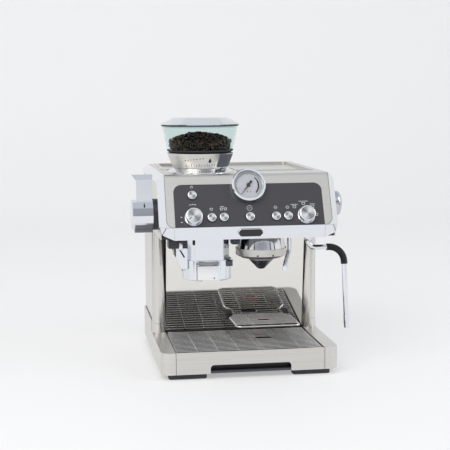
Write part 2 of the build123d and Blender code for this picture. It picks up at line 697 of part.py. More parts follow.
def cup_tray():
    """Folding cup grid: a wire rim with wires welded across it, a window and two eyes on the hinge."""
    x0, x1 = CUP_RAIL_XS
    bend_y = CUP_HINGE_Y - CUP_TAPER_Y
    eye_y = CUP_HINGE_Y - CUP_EYE_L
    corners = [(CUP_EYE_XS[0], CUP_HINGE_Y), (CUP_EYE_XS[0], eye_y), (x0, bend_y), (x0, CUP_RIM_Y),
               (x1, CUP_RIM_Y), (x1, bend_y), (CUP_EYE_XS[1], eye_y), (CUP_EYE_XS[1], CUP_HINGE_Y)]
    rim = FilletPolyline(*[(x, y, CUP_RIM_Z) for x, y in corners], radius=CUP_RIM_BEND)
    grid = tube_along(rim, CUP_RIM_R)
    r = CUP_WIRE_D / 2
    top = CUP_TOP - r
    low = top - CUP_WIRE_D + WIRE_LAP
    half = CUP_WINDOW_W / 2 + r
    for i in range(CUP_ROWS):
        y = CUP_RIM_Y + (i + 1) * CUP_WIRE_PITCH
        reach = cup_rail_x(y)
        if i == CUP_WINDOW_ROW:
            grid += bar_x(CUP_TRAY_X - reach, CUP_TRAY_X - half, y, top, r)
            grid += bar_x(CUP_TRAY_X + half, CUP_TRAY_X + reach, y, top, r)
        else:
            grid += bar_x(CUP_TRAY_X - reach, CUP_TRAY_X + reach, y, top, r)
    last = CUP_RIM_Y + CUP_ROWS * CUP_WIRE_PITCH
    for x in (CUP_TRAY_X - CUP_FILE_X, CUP_TRAY_X + CUP_FILE_X):
        grid += bar_y(x, CUP_RIM_Y, last, low, r)
    for x in (CUP_TRAY_X - half, CUP_TRAY_X + half):
        grid += bar_y(x, CUP_WINDOW_Y - CUP_WIRE_PITCH, CUP_WINDOW_Y + CUP_WIRE_PITCH, low, r)
    eye_r = HINGE_PIN_D / 2 + HINGE_EYE_WALL
    for x in CUP_EYE_XS:
        grid += bar_x(x - HINGE_EYE_W / 2, x + HINGE_EYE_W / 2, CUP_HINGE_Y, CUP_RIM_Z, eye_r)
    for x in CUP_EYE_XS:
        grid -= bar_x(x - CUP_RIM_D, x + CUP_RIM_D, CUP_HINGE_Y, CUP_RIM_Z, HINGE_PIN_D / 2 + PIN_CLEAR)
    return grid


def cup_tray_marker():
    """Red level marker clipped under the window of the cup grid."""
    top = CUP_TOP - 2 * CUP_WIRE_D + WIRE_LAP - SEAT
    bar = slab(CUP_MARKER_W, CUP_MARKER_D, CUP_MARKER_D / 2 - 0.01, CUP_MARKER_T)
    return Pos(CUP_TRAY_X, CUP_WINDOW_Y, top - CUP_MARKER_T) * bar


def cup_tray_hinge():
    """Two black brackets on the splash panel, each with a pin through an eye of the cup grid."""
    tip = CUP_HINGE_Y - BRACKET_TIP
    low, high = CUP_RIM_Z - BRACKET_ROOT, CUP_RIM_Z + BRACKET_ROOT
    face = [(splash_y(high) - SEAT, high), (tip, CUP_RIM_Z + BRACKET_TIP),
            (tip, CUP_RIM_Z - BRACKET_TIP), (splash_y(low) - SEAT, low)]
    brackets = []
    for x, side in zip(CUP_EYE_XS, (-1, 1)):
        near = x + side * (HINGE_EYE_W / 2 + RUN)
        far = near + side * BRACKET_W
        pin_end = x - side * (HINGE_EYE_W / 2 + 1)
        bracket = side_prism(face, min(near, far), max(near, far))
        bracket += bar_x(min(pin_end, far), max(pin_end, far), CUP_HINGE_Y, CUP_RIM_Z, HINGE_PIN_D / 2)
        brackets.append(bracket)
    return Compound(children=brackets)


# ---------------------------------------------------------------- columns and splash panel
def splash_y(z):
    """Front face of the splash panel at a height."""
    return SPLASH_FOOT_Y - (z - BASE_TOP) * tan(radians(SPLASH_TILT))


def columns():
    """Two steel tubes with a wider collar at the foot."""
    collar_top = BASE_TOP + COLLAR_H
    tubes = []
    for x in (-COLUMN_X, COLUMN_X):
        tube = disc(x, 0, collar_top, HEAD_BOTTOM, COLUMN_R)
        collar = disc(x, 0, BASE_TOP, collar_top, COLUMN_R + COLLAR_RIM)
        collar = chamfer(collar.edges().group_by(Axis.Z)[-1], COLLAR_CHAMFER)
        bore = disc(x, 0, BASE_TOP, HEAD_BOTTOM, COLUMN_R - COLUMN_WALL)
        tubes.append(tube + collar - bore)
    return Compound(children=tubes)


def splash_panel():
    """Mirror panel behind the drip tray, leaning towards the front."""
    half = COLUMN_X - COLUMN_R - COLLAR_RIM - SEAT
    z0, z1 = FLOOR_TOP + SILL_H + SEAT, HEAD_BOTTOM - SEAT
    outline = [(splash_y(z0), z0), (splash_y(z1), z1), (splash_y(z1) + SPLASH_T, z1),
               (splash_y(z0) + SPLASH_T, z0)]
    return side_prism(outline, -half, half)


# ---------------------------------------------------------------- inner frame and covers
def inner_frame():
    """Bulkhead behind the splash panel with the shelves and walls of the tank bay."""
    back = BACK - SHEET - SEAT
    bay = TANK_W / 2 + TANK_SIDE_GAP
    frame = block((-INSIDE_X, INSIDE_X), (BULKHEAD_Y, BULKHEAD_BACK), (REAR_TOP, HEAD_BOTTOM))
    frame += block((-WING_IN + SKIRT_WALL, WING_IN - SKIRT_WALL), (BULKHEAD_Y, BULKHEAD_BACK),
                   (FLOOR_TOP, REAR_TOP))
    cheek = block((bay, bay + PLASTIC), (BULKHEAD_BACK, back), (REAR_TOP, HEAD_BOTTOM))
    frame += cheek + mirror(cheek, Plane.YZ)
    frame += block((-bay, bay), (BULKHEAD_BACK, back), (REAR_TOP, SHELF_TOP))
    frame += block((-bay, bay), (TANK_FRONT - RUN - PLASTIC, TANK_FRONT - RUN), (SHELF_TOP, HEAD_BOTTOM))
    brace_z = HEAD_BOTTOM - BRACE_DROP - BRACE_T
    frame += block((-BRACE_W / 2, BRACE_W / 2), (splash_y(brace_z) + SPLASH_T + SEAT, BULKHEAD_Y),
                   (brace_z, brace_z + BRACE_T))
    return frame


def side_panels():
    """Steel side panels of the body and the head."""
    outline = [(REAR_STEP_Y, REAR_TOP + SEAT), (BACK, REAR_TOP + SEAT), (BACK, FRAME_LOW - SEAT),
               (FRAME_TOP_Y + SEAT, FRAME_LOW - SEAT), (FRAME_FOOT_Y + RUN, PANEL_FOOT),
               (FRAME_FOOT_Y + RUN, HEAD_BOTTOM), (REAR_STEP_Y, HEAD_BOTTOM)]
    left = side_prism(outline, -SIDE_X, -SIDE_X + SHEET)
    left -= bar_x(-HALF, -FRAME_IN, LEVER_Y, LEVER_Z, LEVER_SHAFT_D / 2 + PIN_CLEAR)
    right = side_prism(outline, SIDE_X - SHEET, SIDE_X)
    right -= bar_x(FRAME_IN, HALF, STEAM_Y, STEAM_Z, SHAFT_D / 2 + PIN_CLEAR)
    return Compound(children=[left, right])


def rear_cover():
    """Back of the machine with the tank bay opening, air slots and the seat of the mains unit."""
    y = (BACK - SHEET, BACK)
    cover = block((-INSIDE_X, INSIDE_X), y, (REAR_TOP + SEAT, FRAME_LOW - SEAT))
    top = FRAME_IN - SEAT
    cover += block((-top, top), y, (FRAME_LOW - SEAT, HEAD_TOP - SHEET - SEAT))
    cover -= block((-TANK_W / 2 - RUN, TANK_W / 2 + RUN), y, (SHELF_TOP, TANK_TOP + RUN))
    for i in range(SLOT_COUNT):
        x = (i - (SLOT_COUNT - 1) / 2) * SLOT_PITCH
        slot = Rot(90, 0, 0) * slab(SLOT_W, SLOT_H, SLOT_W / 2 - 0.01, SHEET)
        cover -= Pos(x, BACK, (HEAD_TOP + HEAD_BOTTOM) / 2) * slot
    cover -= block((INLET_X - INLET_W / 2, INLET_X + INLET_W / 2), y, (UNIT_LOW - SEAT, UNIT_HIGH + SEAT))
    return cover


def power_inlet():
    """Mains unit: one moulding with the inlet socket, its three pins and the well of the rocker."""
    inner = BACK - INLET_DEEP
    unit = block((INLET_X - UNIT_HALF, INLET_X + UNIT_HALF), (inner, BACK), (UNIT_LOW, UNIT_HIGH))
    rim = INLET_WALL + SEAT
    unit += block((INLET_X - UNIT_HALF - rim, INLET_X + UNIT_HALF + rim), (BACK, BACK + INLET_RIM_T),
                  (UNIT_LOW - rim, UNIT_HIGH + rim))
    front = BACK + INLET_RIM_T
    socket_x = INLET_W / 2 - INLET_WALL
    socket_z = INLET_H / 2 - INLET_WALL
    unit -= block((INLET_X - socket_x, INLET_X + socket_x), (inner + INLET_WALL * 2, front),
                  (INLET_Z - socket_z, INLET_Z + socket_z))
    for dx, dz in ((-1, -1), (0, 1), (1, -1)):
        x, z = INLET_X + dx * socket_x * 0.6, INLET_Z + dz * socket_z / 4
        unit += block((x - 1, x + 1), (inner + INLET_WALL * 2, inner + INLET_WALL * 2 + INLET_PIN_L),
                      (z - 2.5, z + 2.5))
    unit -= block((INLET_X - SWITCH_W / 2, INLET_X + SWITCH_W / 2), (BACK - SWITCH_DEEP, front),
                  (SWITCH_Z - SWITCH_H / 2, SWITCH_Z + SWITCH_H / 2))
    pin = SWITCH_PIN_D / 2 + PIN_CLEAR
    unit -= bar_x(INLET_X - UNIT_HALF + 1, INLET_X + UNIT_HALF - 1, BACK - SWITCH_PIN_IN, SWITCH_Z, pin)
    return unit


def main_switch():
    """Rocker of the rear mains switch on its cross pin, leaning to one side."""
    half = SWITCH_H / 2 - 2
    outline = [(BACK + 1.5, SWITCH_Z - half), (BACK + 4, SWITCH_Z - half + 1), (BACK + 2, SWITCH_Z),
               (BACK + 4, SWITCH_Z + half - 1), (BACK + 1.5, SWITCH_Z + half),
               (BACK - 8, SWITCH_Z + half / 2), (BACK - 8, SWITCH_Z - half / 2)]
    width = SWITCH_W / 2 - RUN
    pin_y = BACK - SWITCH_PIN_IN
    rocker = side_prism(outline, INLET_X - width, INLET_X + width)
    rocker += bar_x(INLET_X - UNIT_HALF + 1 + SEAT, INLET_X + UNIT_HALF - 1 - SEAT,
                    pin_y, SWITCH_Z, SWITCH_PIN_D / 2)
    return rocker.rotate(Axis((INLET_X, pin_y, SWITCH_Z), (1, 0, 0)), SWITCH_REST)


def screws():
    """Pan-head screws that hold the rear cover."""
    x = INSIDE_X - SCREW_INSET
    heads = []
    for side in (-x, x):
        for z in (REAR_TOP + SCREW_INSET, HEAD_BOTTOM - SCREW_INSET, FRAME_LOW - SCREW_INSET):
            head = bar_y(side, BACK, BACK + SCREW_H, z, SCREW_R)
            head -= bar_y(side, BACK + SCREW_H / 2, BACK + SCREW_H, z, SCREW_RECESS_R)
            heads.append(head)
    return Compound(children=heads)


# ---------------------------------------------------------------- head
def head_profile(inset):
    """Solid under the sloped front and the top of the head, rolled at their meeting edge."""
    half = FRAME_IN - SEAT
    foot = PANEL_Y + inset / cos(radians(PANEL_TILT))
    top = HEAD_TOP - inset
    top_y = foot + (top - PANEL_FOOT) * SLOPE
    solid = side_prism([(foot, PANEL_FOOT), (top_y, top), (BACK, top), (BACK, PANEL_FOOT)], -half, half)
    roll = solid.edges().filter_by(Axis.X).group_by(Axis.Z)[-1].sort_by(Axis.Y)[0]
    return fillet(roll, ROLL_R - inset)


def control_places():
    """Across and up-slope places of every control, with the size of the hole that it needs."""
    places = [(x, CONTROL_ROW, BUTTON_D) for x in BUTTON_XS.values()]
    places.append((POWER_X, POWER_UP, BUTTON_D))
    places += [(x, CONTROL_ROW, SHAFT_D) for x in (-KNOB_X, KNOB_X)]
    return places


def head_shell():
    """Folded steel plate: the front plate behind the controls and the top of the head."""
    shell = head_profile(0) - head_profile(SHEET)
    shell -= warmer_plan(HEAD_TOP - SHEET, HEAD_TOP, RUN)
    shell -= disc(HOPPER_X, HOPPER_Y, HEAD_TOP - SHEET, HEAD_TOP, CHAMBER_R + RUN)
    shell -= PANEL * panel_disc(0, GAUGE_UP, -GAUGE_BODY_L, GAUGE_OUT, GAUGE_BODY_D / 2 + SEAT)
    for x, up, d in control_places():
        shell -= PANEL * panel_disc(x, up, -2 * SHEET, SHEET, d / 2 + RUN)
    return shell


def control_fascia():
    """Dark control panel on the front plate, notched round the gauge."""
    plate = block((-FASCIA_W / 2, FASCIA_W / 2), (0, FASCIA_H), (0, FASCIA_T))
    plate = fillet(plate.edges().filter_by(Axis.Z).group_by(Axis.Y)[-1], FASCIA_R)
    plate -= panel_disc(0, GAUGE_UP, 0, FASCIA_T, GAUGE_D / 2 + SEAT)
    for x, up, d in control_places():
        plate -= panel_disc(x, up, 0, FASCIA_T, d / 2 + RUN)
    return PANEL * plate


def warmer_plan(z0, z1, grow):
    """The cup warmer's outline between two heights, grown by an edge."""
    side = FRAME_IN - WARMER_EDGE + grow
    back = BACK - WARMER_REAR_GAP + grow
    deep = block((-side, side), (WARMER_MID - grow, back), (z0, z1))
    beside = block((HOPPER_X + NECK_FOOT_R + WARMER_GAP - grow, side), (WARMER_FRONT - grow, back), (z0, z1))
    plan = deep + beside
    return fillet(plan.edges().filter_by(Axis.Z), WARMER_CORNER)


def cup_warmer():
    """Sunken steel tray in the top of the head, with a lip that lies on the top."""
    floor = HEAD_TOP - WARMER_DEPTH
    rim = HEAD_TOP + WARMER_LIP_T
    lip = warmer_plan(HEAD_TOP, rim, WARMER_LIP_W)
    return lip + warmer_plan(floor, rim, 0) - warmer_plan(floor + SHEET, rim, -SHEET)


def side_frames():
    """Chrome frames round the sides of the head, bevelled outside."""
    outline = [(PANEL_Y, PANEL_FOOT), (PANEL_TOP_Y, HEAD_TOP), (BACK, HEAD_TOP), (BACK, FRAME_LOW),
               (FRAME_TOP_Y, FRAME_LOW), (FRAME_FOOT_Y, PANEL_FOOT)]
    right = side_prism(outline, FRAME_IN, HALF)
    outer = [e for e in right.edges() if abs(e.center().X - HALF) < SEAT and on_head_outline(e.center())]
    right = chamfer(outer, FRAME_W - FRAME_EDGE)
    return Compound(children=[mirror(right, Plane.YZ), right])


def on_head_outline(point):
    """True for a point on the sloped front or the top of the head, away from the ends."""
    slope_y = PANEL_Y + (point.Z - PANEL_FOOT) * SLOPE
    sloped = abs(point.Y - slope_y) < SEAT and PANEL_FOOT + 1 < point.Z < HEAD_TOP - 1
    flat = abs(point.Z - HEAD_TOP) < SEAT and PANEL_TOP_Y + 1 < point.Y < BACK - 1
    return sloped or flat


def strip_y(z):
    """Front face of the chrome strip at a height."""
    return PANEL_Y + STRIP_TUCK * (STRIP_TOP - z) / (STRIP_TOP - HEAD_BOTTOM)


def trim_strip():
    """Chrome strip under the control panel, with a corner piece at each end."""
    low = strip_y(HEAD_BOTTOM)
    outline = [(PANEL_Y, STRIP_TOP), (PANEL_Y + STRIP_T, STRIP_TOP), (low + STRIP_T, HEAD_BOTTOM),
               (low, HEAD_BOTTOM)]
    middle = side_prism(outline, -STRIP_SEAM_X + SEAT, STRIP_SEAM_X - SEAT)
    inner_y = PANEL_Y + STRIP_T * 2
    side = HALF - FRAME_EDGE
    front = [(STRIP_SEAM_X, PANEL_Y), (FRAME_IN, PANEL_Y), (side, PANEL_Y + FRAME_W - FRAME_EDGE),
             (side, FRAME_FOOT_Y)]
    inside = [(side - STRIP_T, FRAME_FOOT_Y), (FRAME_IN, inner_y), (STRIP_SEAM_X, inner_y)]
    height = STRIP_TOP - HEAD_BOTTOM
    corner = Pos(0, 0, HEAD_BOTTOM) * extrude(make_face(Polyline(*front, *inside, close=True)), height)
    whole = make_face(Polyline(*front, (STRIP_SEAM_X, FRAME_FOOT_Y), close=True))
    cut_x, cut_z = STRIP_SEAM_X + CORNER_CUT, HEAD_BOTTOM + CORNER_CUT_H
    underside = across_prism([(STRIP_SEAM_X, HEAD_BOTTOM), (cut_x, cut_z), (side, STRIP_TOP),
                              (STRIP_SEAM_X, HEAD_BOTTOM + STRIP_T)], PANEL_Y, FRAME_FOOT_Y)
    corner += underside & (Pos(0, 0, HEAD_BOTTOM) * extrude(whole, height))
    corner -= across_prism([(STRIP_SEAM_X, HEAD_BOTTOM), (cut_x, cut_z), (side, STRIP_TOP),
                            (HALF, STRIP_TOP), (HALF, HEAD_BOTTOM)], PANEL_Y, FRAME_FOOT_Y)
    before = [(PANEL_Y - STRIP_T, STRIP_TOP), (PANEL_Y, STRIP_TOP), (low, HEAD_BOTTOM),
              (PANEL_Y - STRIP_T, HEAD_BOTTOM)]
    corner -= side_prism(before, STRIP_SEAM_X, HALF)
    return Compound(children=[middle, corner, mirror(corner, Plane.YZ)])


def badge_plate():
    """Bare oval badge plate on the chrome strip."""
    z = (STRIP_TOP + HEAD_BOTTOM) / 2
    lean = Plane(origin=(0, strip_y(z), z), x_dir=(1, 0, 0),
                 z_dir=(0, HEAD_BOTTOM - STRIP_TOP, -STRIP_TUCK))
    plate = slab(BADGE_W, BADGE_H, BADGE_H / 2 - 0.01, BADGE_T)
    return lean * chamfer(plate.edges().group_by(Axis.Z)[-1], BADGE_CHAMFER)


def head_floor():
    """Moulded underside of the head, with openings for the outlet, the group, wand and spout."""
    z = (HEAD_BOTTOM, HEAD_FLOOR_TOP)
    step_y = FRAME_FOOT_Y + 1
    floor = block((-INSIDE_X, INSIDE_X), (step_y, BULKHEAD_BACK + TANK_SIDE_GAP), z)
    side = STRIP_SEAM_X - SEAT
    floor += block((-side, side), (strip_y(HEAD_BOTTOM) + STRIP_T + SEAT, step_y), z)
    for x, y, r in ((OUTLET_X, OUTLET_Y, TAMPER_BORE_R), (GROUP_X, GROUP_Y, GROUP_BODY_R + SEAT),
                    (WAND_X, WAND_Y, WAND_D / 2 + PIN_CLEAR), (SPOUT_X, SPOUT_Y, SPOUT_D / 2 + PIN_CLEAR)):
        floor -= disc(x, y, *z, r)
    return floor


# ---------------------------------------------------------------- gauge
def gauge_case():
    """Chrome case: a bezel in front of the panel and a body behind it."""
    bezel = panel_disc(0, GAUGE_UP, 0, GAUGE_OUT, GAUGE_D / 2)
    bezel = chamfer(bezel.edges().group_by(Axis.Z)[-1], GAUGE_CHAMFER)
    case = bezel + panel_disc(0, GAUGE_UP, -GAUGE_BODY_L, 0, GAUGE_BODY_D / 2)
    case -= panel_disc(0, GAUGE_UP, GAUGE_FLOOR, GAUGE_OUT, GAUGE_WELL_R)
    case -= panel_disc(0, GAUGE_UP, GAUGE_FLOOR - GAUGE_WELL, GAUGE_FLOOR, NEEDLE_HOLE_R)
    return PANEL * case


def gauge_dial():
    """Dial on the floor of the case."""
    dial = panel_disc(0, GAUGE_UP, GAUGE_FLOOR, GAUGE_FLOOR + DIAL_T, GAUGE_WELL_R - SEAT)
    return PANEL * (dial - panel_disc(0, GAUGE_UP, GAUGE_FLOOR, GAUGE_FLOOR + DIAL_T, NEEDLE_HOLE_R))


def gauge_needle():
    """Needle with a counterweight, on its spindle."""
    pointer = Polyline((-6, 1.1), (NEEDLE_L, 0.35), (NEEDLE_L, -0.35), (-6, -1.1), close=True)
    needle = extrude(make_face(pointer), NEEDLE_T)
    needle += Pos(-7, 0, NEEDLE_T / 2) * Box(5, 4, NEEDLE_T)
    needle += Cylinder(NEEDLE_PIN_D, NEEDLE_T * 2)
    needle += Pos(0, 0, -GAUGE_WELL / 2) * Cylinder(NEEDLE_PIN_D / 2, GAUGE_WELL)
    return PANEL * (Pos(0, GAUGE_UP, GAUGE_FLOOR + NEEDLE_UP) * Rot(0, 0, NEEDLE_ANGLE) * needle)


def gauge_lens():
    """Glass in the bezel."""
    top = GAUGE_OUT - LENS_SINK
    return PANEL * panel_disc(0, GAUGE_UP, top - LENS_T, top, GAUGE_WELL_R - PIN_CLEAR)


# ---------------------------------------------------------------- buttons and knobs
def push_button(x, up):
    """Chrome push button on a stem that reaches its switch."""
    cap = panel_disc(x, up, -BUTTON_DEEP, BUTTON_OUT, BUTTON_D / 2)
    cap = fillet(cap.edges().group_by(Axis.Z)[-1], BUTTON_ROUND)
    return PANEL * (cap + panel_disc(x, up, -STEM_END, -BUTTON_DEEP, BUTTON_STEM_D / 2))


def turn_knob(x, up):
    """Chrome knob with a plain skirt, a ribbed grip and a shaft into the head."""
    r = KNOB_D / 2
    grip = panel_disc(x, up, KNOB_FOOT, KNOB_OUT, r)
    grip = fillet(grip.edges().group_by(Axis.Z)[-1], BUTTON_ROUND * 1.5)
    ribs_foot = KNOB_FOOT + KNOB_SKIRT
    for i in range(KNOB_GROOVES):
        angle = radians(i * 360 / KNOB_GROOVES)
        rib_r = r + KNOB_GROOVE_R / 2
        grip -= panel_disc(x + rib_r * cos(angle), up + rib_r * sin(angle), ribs_foot, KNOB_OUT,
                           KNOB_GROOVE_R)
    skirt = panel_disc(x, up, KNOB_FOOT, ribs_foot, r + 1)
    return PANEL * (skirt + grip + panel_disc(x, up, -SHAFT_IN, KNOB_FOOT, SHAFT_D / 2))


def control_board():
    """Circuit board on posts behind the controls, with its switch bodies and shaft holes."""
    half = FASCIA_W / 2 - KNOB_D / 2
    board = block((-half, half), (BOARD_UP - BOARD_H / 2, BOARD_UP + BOARD_H / 2),
                  (-BOARD_DEEP - BOARD_T / 2, -BOARD_FRONT))
    board -= panel_disc(0, GAUGE_UP, -BOARD_DEEP - BOARD_T, 0, GAUGE_BODY_D / 2 + RUN)
    for x, up, d in control_places():
        if d == BUTTON_D:
            board += Pos(x, up, -(BOARD_DEEP + STEM_END + BUTTON_TRAVEL + SEAT) / 2) * Box(
                SWITCH_BODY, SWITCH_BODY, BOARD_DEEP - STEM_END - BUTTON_TRAVEL - SEAT)
        else:
            board -= panel_disc(x, up, -SHAFT_IN, 0, SHAFT_D / 2 + PIN_CLEAR)
    for x in (-KNOB_X - POST_R * 3, -POST_R * 8, POST_R * 8, KNOB_X + POST_R * 3):
        board += panel_disc(x, POST_UP, -BOARD_DEEP, -SHEET, POST_R)
    return PANEL * board


def steam_knob():
    """Domed chrome steam knob on the right side of the head."""
    x0 = SIDE_X + RUN
    x1 = HALF + STEAM_OUT
    knob = bar_x(x0, x1, STEAM_Y, STEAM_Z, STEAM_R)
    knob = fillet(knob.edges().group_by(Axis.X)[-1], STEAM_DOME)
    return knob + bar_x(HALF - STEAM_IN, x0, STEAM_Y, STEAM_Z, SHAFT_D / 2)


# ---------------------------------------------------------------- tamping lever
def lever_flange():
    """Dark bearing plate between the head and the lever hub."""
    x = (-SIDE_X - FLANGE_T, -SIDE_X)
    hole = bar_x(*x, LEVER_Y, LEVER_Z, LEVER_SHAFT_D / 2 + PIN_CLEAR)
    return bar_x(*x, LEVER_Y, LEVER_Z, FLANGE_R) - hole


def tamp_lever():
    """Lever: faceted hub, upright arm with a cap, and the shaft with its pinion."""
    hub = Pos(HUB_X0, LEVER_Y, LEVER_Z) * Rot(0, 90, 0) * extrude(RegularPolygon(HUB_R, HUB_SIDES), HUB_L)
    hub = chamfer(hub.edges().group_by(Axis.X)[0], EDGE_R - 1)
    heel = block((HUB_X0 + HEEL_STEP, HUB_X1), (LEVER_Y - HEEL_W / 2, LEVER_Y + HEEL_W / 2),
                 (LEVER_Z - HUB_R - HEEL_DROP, LEVER_Z))
    x = (HUB_X0 + HUB_X1) / 2 + ARM_SHIFT
    arm_top = LEVER_Z + ARM_L
    arm = block((x - ARM_W / 2, x + ARM_W / 2), (LEVER_Y - ARM_T / 2, LEVER_Y + ARM_T / 2),
                (LEVER_Z, arm_top))
    cap_face = [(x - ARM_W / 2, arm_top - 1), (x + ARM_W / 2, arm_top - 1),
                (x + ARM_W / 2 + CAP_IN, arm_top + CAP_H), (x - ARM_W / 2 - CAP_OUT, arm_top + CAP_H)]
    cap = Pos(0, LEVER_Y + ARM_T, 0) * extrude(Plane.XZ * make_face(Polyline(*cap_face, close=True)),
                                               ARM_T * 2)
    front = LEVER_Y - ARM_T
    cap -= side_prism([(front, arm_top + CAP_FRONT_H), (front + CAP_BEVEL, arm_top + CAP_H),
                       (front, arm_top + CAP_H)], HUB_X0, HUB_X1)
    shaft = bar_x(HUB_X1, OUTLET_X + ROD_W, LEVER_Y, LEVER_Z, LEVER_SHAFT_D / 2)
    pinion = bar_x(OUTLET_X - ROD_W / 2, OUTLET_X + ROD_W / 2, LEVER_Y, LEVER_Z, PINION_R)
    return hub + heel + arm + cap + shaft + pinion


def tamper():
    """Tamping disc on a square rod that the lever's pinion drives down."""
    plate = disc(OUTLET_X, OUTLET_Y, TAMPER_Z, TAMPER_Z + TAMPER_T, TAMPER_R)
    plate = chamfer(plate.edges().group_by(Axis.Z)[0], EDGE_R / 4)
    y0 = LEVER_Y + PINION_R + SEAT
    rod = block((OUTLET_X - ROD_W / 2, OUTLET_X + ROD_W / 2), (y0, y0 + ROD_W),
                (TAMPER_Z, LEVER_Z + PINION_R + 1))
    return plate + rod


# ---------------------------------------------------------------- outlet and cradle
def grinder_outlet():
    """Chrome chute housing under the head, hollow for the tamper."""
    x0, x1 = OUTLET_X - OUTLET_W / 2, OUTLET_X + OUTLET_W / 2
    y0, y1 = OUTLET_Y - OUTLET_D / 2, OUTLET_Y + OUTLET_D / 2
    plan = [(x0, y1), (x0, y0 + OUTLET_BEVEL_Y), (x0 + OUTLET_BEVEL_X, y0), (x1 - OUTLET_BEVEL_X, y0),
            (x1, y0 + OUTLET_BEVEL_Y), (x1, y1)]
    body = Pos(0, 0, OUTLET_BOTTOM) * extrude(make_face(Polyline(*plan, close=True)), OUTLET_H)
    body = fillet(body.edges().filter_by(Axis.Z), EDGE_R)
    return body - disc(OUTLET_X, OUTLET_Y, OUTLET_BOTTOM, HEAD_BOTTOM, TAMPER_BORE_R)


def dosing_cradle():
    """Chrome collar that takes the filter holder, with the bracket at its left."""
    ring = disc(OUTLET_X, OUTLET_Y, CRADLE_BOTTOM, OUTLET_BOTTOM, CRADLE_R)
    ring = fillet(ring.edges().group_by(Axis.Z)[0], EDGE_R * 0.7)
    ring += block((OUTLET_X - CRADLE_PLATE_W / 2 + 2, OUTLET_X + CRADLE_PLATE_W / 2 + 2),
                  (OUTLET_Y - CRADLE_R - CRADLE_PLATE_OUT, OUTLET_Y),
                  (CRADLE_BOTTOM, OUTLET_BOTTOM - CRADLE_PLATE_DROP))
    y0, y1 = OUTLET_Y - BRACKET_FRONT, OUTLET_Y + BRACKET_REAR
    low = CRADLE_BOTTOM + CRADLE_H * 0.4
    side = [(y0, OUTLET_BOTTOM - BRACKET_LIP), (y0, HEAD_BOTTOM - OUTLET_H / 2),
            (y0 + BRACKET_NOSE, HEAD_BOTTOM), (y1, HEAD_BOTTOM), (y1, low), (y0 + BRACKET_STEP, low)]
    x1 = OUTLET_X - OUTLET_W / 2 - SEAT
    bracket = side_prism(side, x1 - BRACKET_T, x1)
    cut_top = OUTLET_BOTTOM + BRACKET_CUT_UP
    wedge = [(x1 - BRACKET_T, cut_top), (x1 - BRACKET_T, cut_top - BRACKET_CUT_H),
             (x1 - BRACKET_T + BRACKET_CUT, cut_top - BRACKET_CUT_H)]
    bracket -= across_prism(wedge, y0, y1)
    tab_place = Pos(OUTLET_X + CRADLE_R - TAB_SINK, OUTLET_Y - CRADLE_R / 2, OUTLET_BOTTOM - TAB_DROP)
    cradle = ring + bracket + tab_place * Box(*STOP_TAB)
    return cradle - disc(OUTLET_X, OUTLET_Y, CRADLE_BOTTOM, OUTLET_BOTTOM, CRADLE_BORE_R)


# ---------------------------------------------------------------- brew group
def group_shroud():
    """Chrome skirt of the brew group."""
    skirt = [(SOCKET_R, COLLAR_TOP_Z), (RING_OUT_R - SHROUD_STEP, COLLAR_TOP_Z),
             (SHROUD_TOP_R, HEAD_BOTTOM), (SOCKET_R, HEAD_BOTTOM)]
    return turned(GROUP_X, GROUP_Y, skirt)


def brew_ring():
    """Steel collar that the filter holder locks into, with two dimples in its front."""
    ring = [(RING_BORE_R, COLLAR_LOW_Z), (RING_OUT_R - RING_BEVEL, COLLAR_LOW_Z),
            (RING_OUT_R, COLLAR_LOW_Z + RING_BEVEL_H), (RING_OUT_R, COLLAR_TOP_Z),
            (RING_BORE_R, COLLAR_TOP_Z)]
    body = turned(GROUP_X, GROUP_Y, ring)
    front = GROUP_Y - RING_OUT_R
    for dx in (-RING_DIMPLE_X, RING_DIMPLE_X):
        body -= bar_y(GROUP_X + dx, front, front + RING_DIMPLE_L, COLLAR_LOW_Z + RING_COLLAR_H * 0.4,
                      RING_DIMPLE_R)
    return body


def diffuser_cone():
    """Polished cone and water spreader in the middle of the group, on the brew head body."""
    spreader = RING_BORE_R - 1
    cone = [(0, COLLAR_LOW_Z - CONE_DROP), (CONE_TIP_R, COLLAR_LOW_Z - CONE_DROP + CONE_TIP_R / 4),
            (CONE_R, COLLAR_LOW_Z - CONE_RIM), (CONE_R + 1, COLLAR_LOW_Z + EDGE_R),
            (spreader, COLLAR_TOP_Z - 2), (spreader, COLLAR_TOP_Z),
            (GROUP_BODY_R, COLLAR_TOP_Z), (GROUP_BODY_R, BOILER_BASE), (0, BOILER_BASE)]
    return turned(GROUP_X, GROUP_Y, cone)


# ---------------------------------------------------------------- spout and wand
def hot_water_spout():
    """Bent hot-water tube with a short nozzle."""
    bend = HEAD_BOTTOM - SPOUT_DROP
    low = bend - SPOUT_LEAN
    end = low - SPOUT_D
    x, y = SPOUT_X - SPOUT_SIDE, SPOUT_Y - SPOUT_FORWARD
    path = FilletPolyline((SPOUT_X, SPOUT_Y, HEAD_BOTTOM + SPOUT_IN), (SPOUT_X, SPOUT_Y, bend),
                          (x, y, low), (x, y, end), radius=SPOUT_BENDS)
    return tube_along(path, SPOUT_D / 2) + disc(x, y, end - 1, end - 1 + NOZZLE_H, SPOUT_D / 2 + NOZZLE_RIM)


def wand_path(points, radii):
    """Wand route from (reach, height under the head) points."""
    return FilletPolyline(*[(WAND_X + r, WAND_Y, HEAD_BOTTOM - h) for r, h in points], radius=radii)


